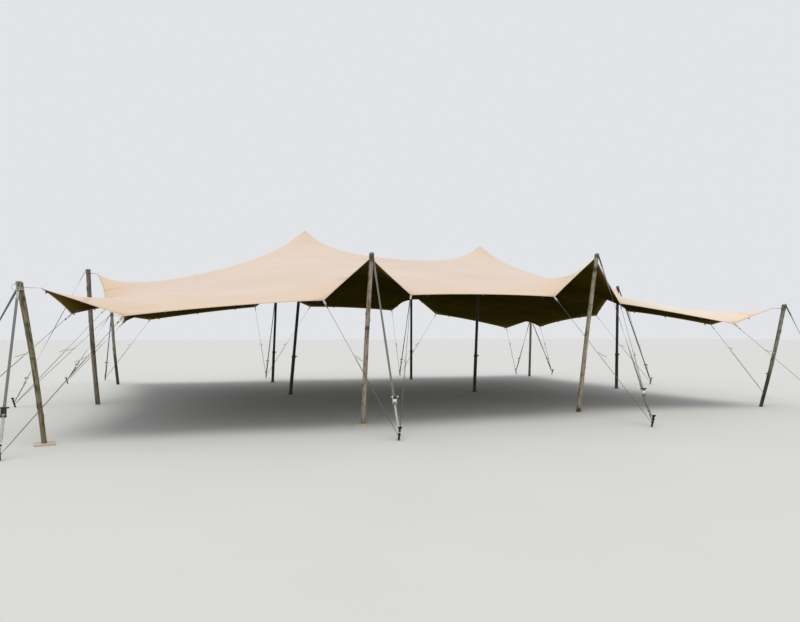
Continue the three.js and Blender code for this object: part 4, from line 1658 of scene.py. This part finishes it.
@dataclass
class FootBoard:
    """The loose pale board under a pole, of three planks with worn corners."""

    plan: PolePlan
    finishes: Finishes
    side: float = 0.27
    planks: int = 3
    gap: float = 0.0004
    worn: float = 0.003

    def build(self) -> None:
        """Makes the board."""
        shape = Shape()
        half, step = self.side / 2, self.side / self.planks
        for k in range(self.planks):
            low = -half + k * step
            near, far = (-half, low + self.gap, 0.0), (half, low + step - self.gap, BOARD_HEIGHT)
            shape.add(Shape().block(near, far, self.worn).grained())
        turn, shift = self.plan.board
        x, y = self.plan.foot
        shape.moved(Matrix.Translation((x + shift, y, 0.0)) @ Matrix.Rotation(turn, 4, "Z"))
        node = f"foot_board_{self.plan.name}"
        shape.piece(f"board_{self.plan.name}", (self.finishes.board,), Slot.BOARD, replaces=[node])


# Stakes, straps and guys


@dataclass
class Stake:
    """A forged stake, leaning away from the tent, with the rings that its strap and ropes pull on."""

    plan: StakePlan
    finishes: Finishes
    radius: float = 0.017
    height: float = 0.215
    head_radius: float = 0.034
    head_height: float = 0.024
    soft: float = 0.004
    sides: int = 28

    def build(self) -> None:
        """Makes the stake."""
        bar, head, top, soft = self.radius, self.head_radius, self.height, self.soft
        neck = top - self.head_height
        profile = [(0.0, 0.0), (bar, 0.0), *((bar, neck * k / 8) for k in range(1, 8))]
        profile += [(bar, neck - 3 * soft), (bar + soft, neck - soft), (head - soft, neck)]
        profile += [(head, neck + soft), (head, top - soft * 2), (head - soft, top - soft * 0.6)]
        profile += [(head * 0.5, top), (0.0, top)]
        shape = Shape().add(Shape().lathe(profile, self.sides)).leaned(self.plan)
        node = f"stake_{self.plan.name}"
        shape.piece(f"stake_bar_{self.plan.name}", (self.finishes.iron,), Slot.STAKE, replaces=[node])

    def ring(self, height: float, wire: float) -> Shape:
        """Makes one ring round the stake, of a wire's radius."""
        spots = round_section(self.radius + TOUCH + wire, self.sides)
        return rope([self.plan.axis(height) + Vector((x, y, 0.0)) for x, y in spots], wire, 8, closed=True)

    def reach(self, height: float, wire: float, target: Vector) -> Vector:
        """Finds the point of a ring that faces a target.

        Args:
            height: Where the ring lies on the stake.
            wire: The ring's own radius.
            target: What it faces.

        Returns:
            The middle of the ring's wire there.
        """
        axis = self.plan.axis(height)
        towards = Vector((*(target - axis).xy, 0.0)).normalized()
        return axis + towards * (self.radius + TOUCH + wire)


@dataclass
class Ratchet:
    """A ratchet in its own frame: X across the webbing, Y away from the tent, Z up the strap."""

    inner: float = 0.022
    plate: float = 0.003
    high: float = 0.128
    front: float = 0.02
    back: float = -0.016
    drum: float = 0.0125
    base_bar: float = 0.007
    base_bar_at: float = 0.112
    axle: float = 0.006
    axle_reach: float = 0.039
    wheel_gap: float = 0.0005
    wheel: float = 0.003
    rivet: float = 0.004
    rivets: Pair = (0.06, 0.1)
    rivet_head: float = 0.002
    nut: float = 0.010
    nut_height: float = 0.006
    arm_inner: float = 0.03
    arm_plate: float = 0.004
    arm_width: float = 0.024
    arm_low: float = -0.014
    arm_length: float = 0.134
    tilt: float = 0.34
    grip: float = 0.011
    grip_length: float = 0.126
    layer: float = 0.0022

    def side_plate(self) -> Section:
        """Draws a side plate: round below the axle, stepped and narrower at the top.

        Returns:
            The outline's points.
        """
        outline = [(y + 0.002, z - 0.004) for y, z in round_section(0.018, 12, math.pi, math.pi)]
        outline += [(self.front, 0.04), (0.016, 0.052), (0.016, 0.075), (0.019, 0.082), (0.019, 0.118)]
        return outline + [(0.012, self.high), (-0.010, self.high), (self.back, 0.118), (self.back, 0.01)]

    def frame(self) -> Shape:
        """Makes the side plates, toothed wheels, drum, bars and the webbing wound on the drum.

        Returns:
            The shape, with zinc, black steel and webbing as its finishes 0, 1 and 2.
        """
        shape = Shape()
        outer, wide = self.inner + self.plate, self.inner + 0.001
        for side in (-1, 1):
            shape.add(Shape().plate(self.side_plate(), *sorted((side * self.inner, side * outer))))
            near = outer + self.wheel_gap
            wheel = sorted((side * near, side * (near + self.wheel)))
            shape.add(Shape().plate(self.teeth(), *wheel), 1)
            for height in self.rivets:
                rivet = sorted((side * outer, side * (outer + self.rivet_head)))
                shape.add(cylinder(self.rivet, *rivet, 12, 0.0005, height))
            nut = sorted((side * outer, side * (outer + self.nut_height)))
            shape.add(cylinder(self.nut, *nut, 6, height=self.base_bar_at), 1)
        floor_low = (-self.inner, self.back, 0.03)
        shape.add(Shape().block(floor_low, (self.inner, self.back + 0.003, 0.1), 0.001))
        shape.add(cylinder(self.drum, -wide, wide, 24), 1)
        shape.add(cylinder(self.axle, -self.axle_reach, self.axle_reach, 16))
        shape.add(cylinder(self.base_bar, -wide, wide, height=self.base_bar_at), 1)
        return shape.add(self.wound(), 2)

    @staticmethod
    def teeth(count: int = 13, root: float = 0.015, tip: float = 0.0195) -> Section:
        """Draws a ratchet wheel with slanting teeth.

        Args:
            count: How many teeth.
            root: The radius between them.
            tip: The radius at their tips.

        Returns:
            The outline's points.
        """
        corners = ((root, 0.0), (tip, 0.75), (tip, 0.9))
        turns = [(reach, TURN * (k + late) / count) for k in range(count) for reach, late in corners]
        return [(reach * math.cos(turn), reach * math.sin(turn)) for reach, turn in turns]

    def wound(self, turns: float = 2.25, steps: int = 18) -> Shape:
        """Winds webbing round the drum.

        Args:
            turns: How many turns.
            steps: Steps for each turn.

        Returns:
            The wound webbing.
        """
        stops = []
        for k in range(int(turns * steps) + 1):
            outward = turned(NORTH, UP, TURN * k / steps - math.pi / 2)
            reach = self.drum + self.layer * (0.55 + k / steps * 1.04)
            stops.append(Stop(outward * reach, EAST, outward))
        return swept(stops, flat_section(self.inner * 1.6, self.layer))

    def handle(self) -> Shape:
        """Makes the handle: two bent arms, a cross plate, its spring and the grip.

        Returns:
            The shape, with zinc, black steel, the grip and the plate as its finishes 0 to 3.
        """
        shape = Shape()
        side, outer = self.arm_inner, self.arm_inner + self.arm_plate
        end = self.arm_length + self.arm_low
        washer = [(0.0075, outer), (0.012, outer), (0.012, outer + 0.002), (0.0075, outer + 0.002)]
        for way in (-1, 1):
            shape.add(Shape().plate(self.arm_outline(end), *sorted((way * side, way * outer))))
            ring = Shape().lathe([*washer, washer[0]], 20)
            shape.add(ring.moved(Matrix.Rotation(way * math.pi / 2, 4, "Y")), 1)
        shape.add(Shape().block((-side, -0.0015, 0.03), (side, 0.0015, end - 0.045), 0.0006), 3)
        shape.add(Shape().block((-side, -0.002, end - 0.045), (side, 0.006, end - 0.02), 0.0015), 1)
        shape.add(self.grip_bar(end - self.grip), 2)
        shape.add(cylinder(self.grip * 1.06, -side, side, height=end - self.grip), 1)
        return shape.moved(Matrix.Rotation(-self.tilt, 4, "X"))

    def arm_outline(self, end: float) -> Section:
        """Draws an arm: round at the axle and narrower towards the grip.

        Args:
            end: Where the arm ends.

        Returns:
            The outline's points.
        """
        half = self.arm_width / 2
        side = [(half, 0.03), (half * 0.7, 0.05), (half * 0.7, end - 0.01), (half * 0.45, end)]
        foot = [(y, z + self.arm_low + half) for y, z in round_section(half, 12, math.pi, math.pi)]
        return [*foot, *side, *((-y, z) for y, z in reversed(side))]

    def grip_bar(self, height: float, ribs: int = 15) -> Shape:
        """Makes the grip: a wide ribbed bar with rounded ends.

        Args:
            height: How far up the handle it is.
            ribs: How many ribs it has.

        Returns:
            The grip.
        """
        half, end = self.grip_length / 2, [(0.6, 0.0), (0.95, 0.004)]
        step = (self.grip_length - 0.016) / (ribs * 2)
        ribbed = [(0.92 + 0.08 * (k % 2), 0.008 + step * k) for k in range(ribs * 2 + 1)]
        far = [(share, self.grip_length - x) for share, x in reversed(end)]
        profile = [(0.0, 0.0), *end, *ribbed, *far, (0.0, self.grip_length)]
        return laid([(self.grip * share, x - half) for share, x in profile], 20, height)


@dataclass
class Strap:
    """A ratchet strap from its sling at the pole's top down to its stake."""

    plan: StakePlan
    finishes: Finishes
    ring_height: float = 0.13
    ring_wire: float = 0.007
    axle_height: float = 0.54
    sling_height: float = 0.034
    sling_thickness: float = 0.006
    sling_below: float = 0.039
    sling_spacing: float = 0.046
    webbing: float = 0.036
    layer: float = 0.0024
    layer_gap: float = 0.0026
    hook_length: float = 0.09
    hook_wire: float = 0.0048
    cord_radius: float = 0.0035
    cord_slack: float = 0.07
    cord_apart: float = 0.022
    cord_lean: float = 0.01
    cord_front: float = 0.008
    cord_share: float = 1.1
    tail: float = 0.36
    fold: float = 0.26

    def __post_init__(self) -> None:
        """Finds the strap's line and its frame."""
        self.stake = Stake(self.plan, self.finishes)
        self.ratchet = Ratchet()
        self.pole = POLES[self.plan.pole]
        below = self.sling_below + (self.sling_spacing if self.plan.lower else 0.0)
        self.sling_middle = self.pole.axis(self.pole.top[2] - below)
        foot = self.stake.reach(self.ring_height, self.ring_wire, self.sling_middle)
        self.outward = Vector((*(foot - self.sling_middle).xy, 0.0)).normalized()
        reach = self.pole.radius(self.sling_middle.z) + TOUCH + self.sling_thickness / 2
        line = self.sling_middle + self.outward * reach - foot
        self.along = line.normalized()
        self.across = UP.cross(self.along).normalized()
        self.away = self.along.cross(self.across)
        self.axle = (self.axle_height - foot.z) / self.along.z
        self.top = line.length - self.axle
        basis = Matrix((self.across, self.away, self.along)).transposed().to_4x4()
        self.place = Matrix.Translation(foot + self.along * self.axle) @ basis

    def build(self) -> None:
        """Makes the webbing, the hook and rings, and the ratchet with its handle."""
        self.webbing_piece()
        self.metal_piece()
        finishes, name, handle = self.finishes, self.plan.name, self.plan.handle
        dark, black = name == "front_left_front", finishes.black_steel
        metal = black if dark else finishes.zinc
        frame = self.ratchet.frame().moved(self.place)
        frame.piece(f"ratchet_{name}", (metal, black, finishes.grey), Slot.HANDLE, smooth=35.0)
        grip = finishes.pale_grip if handle is Body.LEFT_HANDLE else finishes.black_grip
        looks = (metal, black, grip, metal if dark else finishes.plate)
        nodes = [f"ratchet_handle_{name}"] if handle else []
        lever = self.ratchet.handle().moved(self.place)
        lever.piece(f"lever_{name}", looks, Slot.HANDLE, handle or Body.TENT, nodes, smooth=35.0)

    def local(self, y: float, z: float, x: float = 0.0) -> Vector:
        """Gives a point of the ratchet's frame in the tent's."""
        return self.place @ Vector((x, y, z))

    def flat(self, spots: Iterable[Sequence[float]], share: float = 1.0) -> Shape:
        """Lays a ribbon of the strap's webbing through points of the ratchet's frame."""
        return ribbon([self.local(*spot) for spot in spots], self.away, self.webbing * share, self.layer)

    def webbing_piece(self) -> None:
        """Makes the strap's webbing: upper run, two layers below, sling and loose tail."""
        shape = Shape()
        name, cord = self.plan.name, self.plan.head_cord
        bar, drum = self.ratchet.base_bar_at, self.ratchet.drum
        wrap = self.ratchet.base_bar + self.layer / 2 + 0.0004
        lap = bar + 0.13
        shape.add(self.upper_run(self.top - 0.002 - cord, lap))
        if cord:
            shape.add(self.head_loops(cord), 1)
        bend = [(y, bar - z) for y, z in round_section(wrap, 8, sweep=math.pi)]
        upper = [(wrap * 0.2, lap + 0.002), (wrap, bar + 0.02), *bend]
        shape.add(self.flat([*upper, (-wrap, bar + 0.02), (-wrap * 0.5, lap - 0.01)]))
        for side in (1, -1):
            y = side * self.layer_gap
            run = [(y * 0.9, z) for z in np.linspace(self.hook_length - self.axle + 0.004, -0.06, 8)]
            shape.add(self.flat([*run, (y + side * 0.0035, -drum - 0.004)]), int(self.plan.pale))
        shape.add(self.sling(0.0, self.sling_height + 0.006, 0.0028), 3)
        shape.add(self.sling(0.16, self.sling_height * 0.9, 0.0026, 0.0030), 3)
        sewn = np.linspace(self.top - self.fold, self.top - cord - 0.01, 6)
        shape.add(self.flat([(0.0035, z) for z in sewn], 0.96), 1 if name == "front_left_front" else 2)
        shape.add(self.keeper(), 1)
        shape.add(self.loose_tail(), 2)
        finishes = (self.finishes.grey, self.finishes.pale, self.finishes.slate, self.finishes.sling)
        shape.piece(f"webbing_{name}", finishes, Slot.WEBBING, replaces=[f"strap_{name}"])

    def upper_run(self, start: float, end: float, steps: int = 48) -> Shape:
        """Makes the long run of webbing from the sling to the ratchet, twisted a little against the wind.

        Args:
            start: Where it starts, up the strap from the axle.
            end: Where it ends.
            steps: Steps along it.

        Returns:
            The run.
        """
        stops = []
        for k in range(steps + 1):
            share = k / steps
            turn = self.plan.twist * math.sin(math.pi * share**self.plan.turn_late) ** 2
            middle = self.local(0.0005, start + (end - start) * share)
            sides = (turned(self.across, self.away, turn), turned(self.away, -self.across, turn))
            stops.append(Stop(middle, *sides))
        return swept(stops, flat_section(self.webbing, self.layer))

    def sling(
        self, slope: float, height: float, thickness: float, stand: float = 0.0, steps: int = 40
    ) -> Shape:
        """Winds one band round the pole.

        Args:
            slope: How much the band tilts, as a slope.
            height: The band's width.
            thickness: Its thickness.
            stand: How far it stands off the pole's surface.
            steps: Steps round the pole.

        Returns:
            The band.
        """
        stops = []
        for k in range(steps):
            outward = turned(EAST, NORTH, TURN * k / steps)
            rise = slope * self.pole.radius(self.sling_middle.z) * outward.dot(self.outward)
            centre = self.pole.axis(self.sling_middle.z + rise)
            reach = self.pole.radius(centre.z) * 1.02 + TOUCH + stand + thickness / 2
            stops.append(Stop(centre + outward * reach, UP, outward))
        return swept(stops, flat_section(height, thickness), closed=True)

    def head_loops(self, length: float, steps: int = 12) -> Shape:
        """Ties the strap's head to its sling with loops of cord, one of them slack.

        Args:
            length: How far the webbing's head hangs below its upper end.
            steps: Steps along each cord.

        Returns:
            The cords.
        """
        shape = Shape()
        for side, slack in ((1, self.cord_slack), (-1, 0.0), (1, 0.0)):
            path = []
            for k in range(steps + 1):
                share = k / steps
                aside = self.cord_apart - self.cord_lean * share + slack * math.sin(math.pi * share)
                height = self.top - length * self.cord_share * share
                path.append(self.local(self.cord_front, height, side * aside))
            shape.add(rope(path, self.cord_radius, 8))
        return shape

    def keeper(self) -> Shape:
        """Makes the small pale loop round both layers at the end of the fold.

        Returns:
            The loop.
        """
        height, half = self.top - self.fold + 0.02, self.webbing / 2 + 0.002
        path = [self.local(0.006 * x, height, half * y) for x, y in round_section(1.0, 20)]
        return swept(stops_along(path, self.along, closed=True), flat_section(0.018, 0.0022), closed=True)

    def loose_tail(self, steps: int = 16) -> Shape:
        """Lays the strap's loose end down behind the strap, from the drum towards the hook.

        Args:
            steps: Steps along it.

        Returns:
            The loose end.
        """
        rng = np.random.default_rng(seed_of(self.plan.name))
        length = min(self.axle - self.hook_length - 0.04, self.tail * float(rng.uniform(0.7, 1.0)))
        lift = float(rng.uniform(0.006, 0.014))
        sway = float(rng.uniform(-0.012, 0.012))
        spots = [(-self.ratchet.drum - 0.006, -0.004)]
        for share in (k / steps for k in range(1, steps + 1)):
            hang = -0.010 - lift * math.sin(share * math.pi * 2.5) ** 2
            spots.append((hang, -0.03 - length * share, sway * share))
        return self.flat(spots, 0.96)

    def metal_piece(self) -> None:
        """Makes the wire hook with its cross bar and the ring that it hangs in."""
        half, length = self.webbing / 2 + 0.004, self.hook_length
        side = [(0.008, -0.008), (0.011, 0.002), (0.012, 0.02), (half, 0.062), (half + 0.002, 0.082)]
        side += [(half - 0.006, length + 0.002)]
        left = [(-x, z) for x, z in side]
        corners = [(0.0, -0.011), *left, (0.0, length + 0.003), *reversed(side)]
        path = [self.local(0.0, z - self.axle, x) for x, z in corners]
        section = round_section(self.hook_wire, 10)
        link = swept(stops_along(path, self.away, closed=True), section, closed=True)
        shape = Shape().add(self.stake.ring(self.ring_height, self.ring_wire)).add(link)
        finish = self.finishes.zinc if self.plan.pale else self.finishes.black_steel
        shape.piece(f"hook_{self.plan.name}", (finish,), Slot.HANDLE)


@dataclass
class Guys:
    """The guy ropes of one stake, from the cloth's low ties, each with its slider stick."""

    plan: StakePlan
    finishes: Finishes
    ring_wire: float = 0.006
    radius: float = 0.0036
    drop: float = 0.008
    lead: float = 0.094
    spread: float = 0.006
    slider_length: float = 0.21
    slider_width: float = 0.03
    slider_thickness: float = 0.014
    slider_height: float = 1.29
    slider_tilt: float = -0.45
    slider_tail: float = 0.02
    slider_bevel: float = 0.0045

    def build(self) -> None:
        """Makes the ring, the ropes and the sliders."""
        stake = Stake(self.plan, self.finishes)
        ropes = Shape().add(stake.ring(GUY_RING_HEIGHT, self.ring_wire), 1)
        sticks = Shape()
        for k in self.plan.ties:
            tie = Vector(LOW_TIES[self.plan.edge][k])
            start = tie - UP * self.drop
            top = start + (self.plan.axis(GUY_RING_HEIGHT) - tie).normalized() * self.lead
            foot = stake.reach(GUY_RING_HEIGHT, self.ring_wire, top)
            ropes.add(self.line(top, foot)).add(self.knot(top, foot))
            sticks.add(self.slider(start, foot))
        name = self.plan.name
        finishes = (self.finishes.guy, self.finishes.black_steel)
        ropes.piece(f"guy_{name}", finishes, Slot.ROPE, replaces=[f"guys_{name}"])
        sticks.piece(f"sliders_{name}", (self.finishes.stick,), Slot.ROPE)

    def slider_share(self, top: Vector, foot: Vector) -> float:
        """Finds how far down a rope its slider is."""
        return (top.z - self.slider_height) / (top.z - foot.z)

    @staticmethod
    def frame(top: Vector, foot: Vector) -> tuple[Vector, Vector, Vector]:
        """Gives a rope's directions.

        Args:
            top: Where the rope starts.
            foot: Where it ends.

        Returns:
            Level across it, square to both, and down it.
        """
        down = (foot - top).normalized()
        across = UP.cross(down).normalized()
        return across, down.cross(across), down

    def line(self, top: Vector, foot: Vector, steps: int = 16) -> Shape:
        """Runs a rope from its ring to the stake and, doubled, back up to its slider.

        Args:
            top: Where the rope leaves the cloth's ring.
            foot: Where it meets the stake's ring.
            steps: Steps along the doubled part.

        Returns:
            The rope.
        """
        across, _, _ = self.frame(top, foot)
        share = self.slider_share(top, foot)
        double = straight(top.lerp(foot, share + 0.03), foot, steps)
        aside = [across * (self.spread * min(1.0, 5 * (1 - k / steps))) for k in range(steps + 1)]
        single = straight(top, top.lerp(foot, share), 24)
        there = rope([*single, *(point + off for point, off in zip(double, aside))], self.radius, 8)
        return there.add(rope([point - off for point, off in zip(double, aside)], self.radius, 8))

    def knot(self, top: Vector, foot: Vector, turns: int = 5, steps: int = 12) -> Shape:
        """Ties the rope under its ring with close turns.

        Args:
            top: Where the rope leaves the cloth's ring.
            foot: Where it meets the stake's ring.
            turns: How many turns.
            steps: Steps for each turn.

        Returns:
            The turns.
        """
        across, away, down = self.frame(top, foot)
        path = []
        for turn in (k / steps for k in range(turns * steps + 1)):
            spot = top + down * (0.012 + 0.0085 * turn)
            path.append(spot + turned(across, away, TURN * turn) * (self.radius * 2.0))
        return rope(path, self.radius, 6)

    def slider(self, top: Vector, foot: Vector) -> Shape:
        """Makes the flat slider stick, lying a little across its rope.

        Args:
            top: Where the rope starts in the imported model.
            foot: Where it ends.

        Returns:
            The stick.
        """
        middle = top.lerp(foot, self.slider_share(top, foot))
        half, edge = self.slider_width / 2, self.slider_thickness / 2
        low, high = (-half, -edge, -self.slider_tail), (half, edge, self.slider_length - self.slider_tail)
        stick = Shape().block(low, high, self.slider_bevel).grained()
        basis = Matrix(self.frame(top, foot)).transposed().to_4x4()
        return stick.moved(Matrix.Translation(middle) @ basis @ Matrix.Rotation(self.slider_tilt, 4, "X"))


# The studio


@dataclass(frozen=True)
class Studio:
    """The pale floor, the soft light and the camera at the photograph's viewing angle."""

    eye: tuple[float, float, float] = (-5.17, -16.03, 1.6)
    facing: Pair = (0.3305, 0.944)
    pitch: float = 2.29
    lens: float = 27.0
    sensor: float = 36.0
    far: float = 500.0
    floor_side: float = 400.0
    sky: Colour = (0.95, 0.97, 1.0)
    sky_strength: float = 0.80
    sun: Colour = (1.0, 0.97, 0.92)
    sun_strength: float = 1.3
    sun_size: float = 35.0
    sun_from: tuple[float, float, float] = (-0.1, -0.2, 1.0)

    def camera(self) -> None:
        """Sets the camera up."""
        data = bpy.data.cameras.new("view")
        data.lens = self.lens
        data.sensor_width = self.sensor
        data.clip_end = self.far
        camera = bpy.data.objects.new("view", data)
        rise = math.tan(math.radians(self.pitch)) * math.hypot(*self.facing)
        camera.location = self.eye
        camera.rotation_euler = Vector((*self.facing, rise)).to_track_quat("-Z", "Y").to_euler()
        bpy.context.scene.collection.objects.link(camera)
        bpy.context.scene.camera = camera

    def light(self) -> None:
        """Sets up the pale sky and one broad soft light."""
        world = bpy.data.worlds.new("studio")
        world.use_nodes = True
        backdrop = world.node_tree.nodes["Background"]
        backdrop.inputs["Color"].default_value = (*self.sky, 1.0)
        backdrop.inputs["Strength"].default_value = self.sky_strength
        bpy.context.scene.world = world
        data = bpy.data.lights.new("broad_light", "SUN")
        data.energy = self.sun_strength
        data.angle = math.radians(self.sun_size)
        data.color = self.sun
        lamp = bpy.data.objects.new("broad_light", data)
        lamp.rotation_euler = Vector(self.sun_from).to_track_quat("Z", "Y").to_euler()
        bpy.context.scene.collection.objects.link(lamp)
        bpy.context.scene.view_settings.view_transform = "Standard"

    def floor(self, finish: bpy.types.Material) -> None:
        """Lays the floor."""
        bm = bmesh.new()
        bmesh.ops.create_grid(bm, x_segments=8, y_segments=8, size=self.floor_side / 2)
        mesh = bpy.data.meshes.new("studio_floor")
        bm.to_mesh(mesh)
        bm.free()
        mesh.materials.append(finish)
        floor = bpy.data.objects.new("studio_floor", mesh)
        bpy.context.scene.collection.objects.link(floor)


def corners(box: tuple[Vector, Vector]) -> list[list[float]]:
    """Turns a box into plain lists."""
    return [list(corner) for corner in box]


def main() -> None:
    """Builds every piece of the tent in order."""
    logging.basicConfig(level=logging.INFO, format="%(name)s %(message)s")
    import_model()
    studio = Studio()
    studio.camera()
    studio.light()
    finishes = Finishes()
    studio.floor(finishes.floor)
    Canopy(Membrane(), finishes).build()
    for plan in POLES.values():
        pole = TimberPole if plan.radii else TubePole
        pole(plan, finishes).build()
        if plan.board:
            FootBoard(plan, finishes).build()
    for plan in STAKES:
        Stake(plan, finishes).build()
        Strap(plan, finishes).build()
        Guys(plan, finishes).build()


if __name__ == "__main__":
    main()
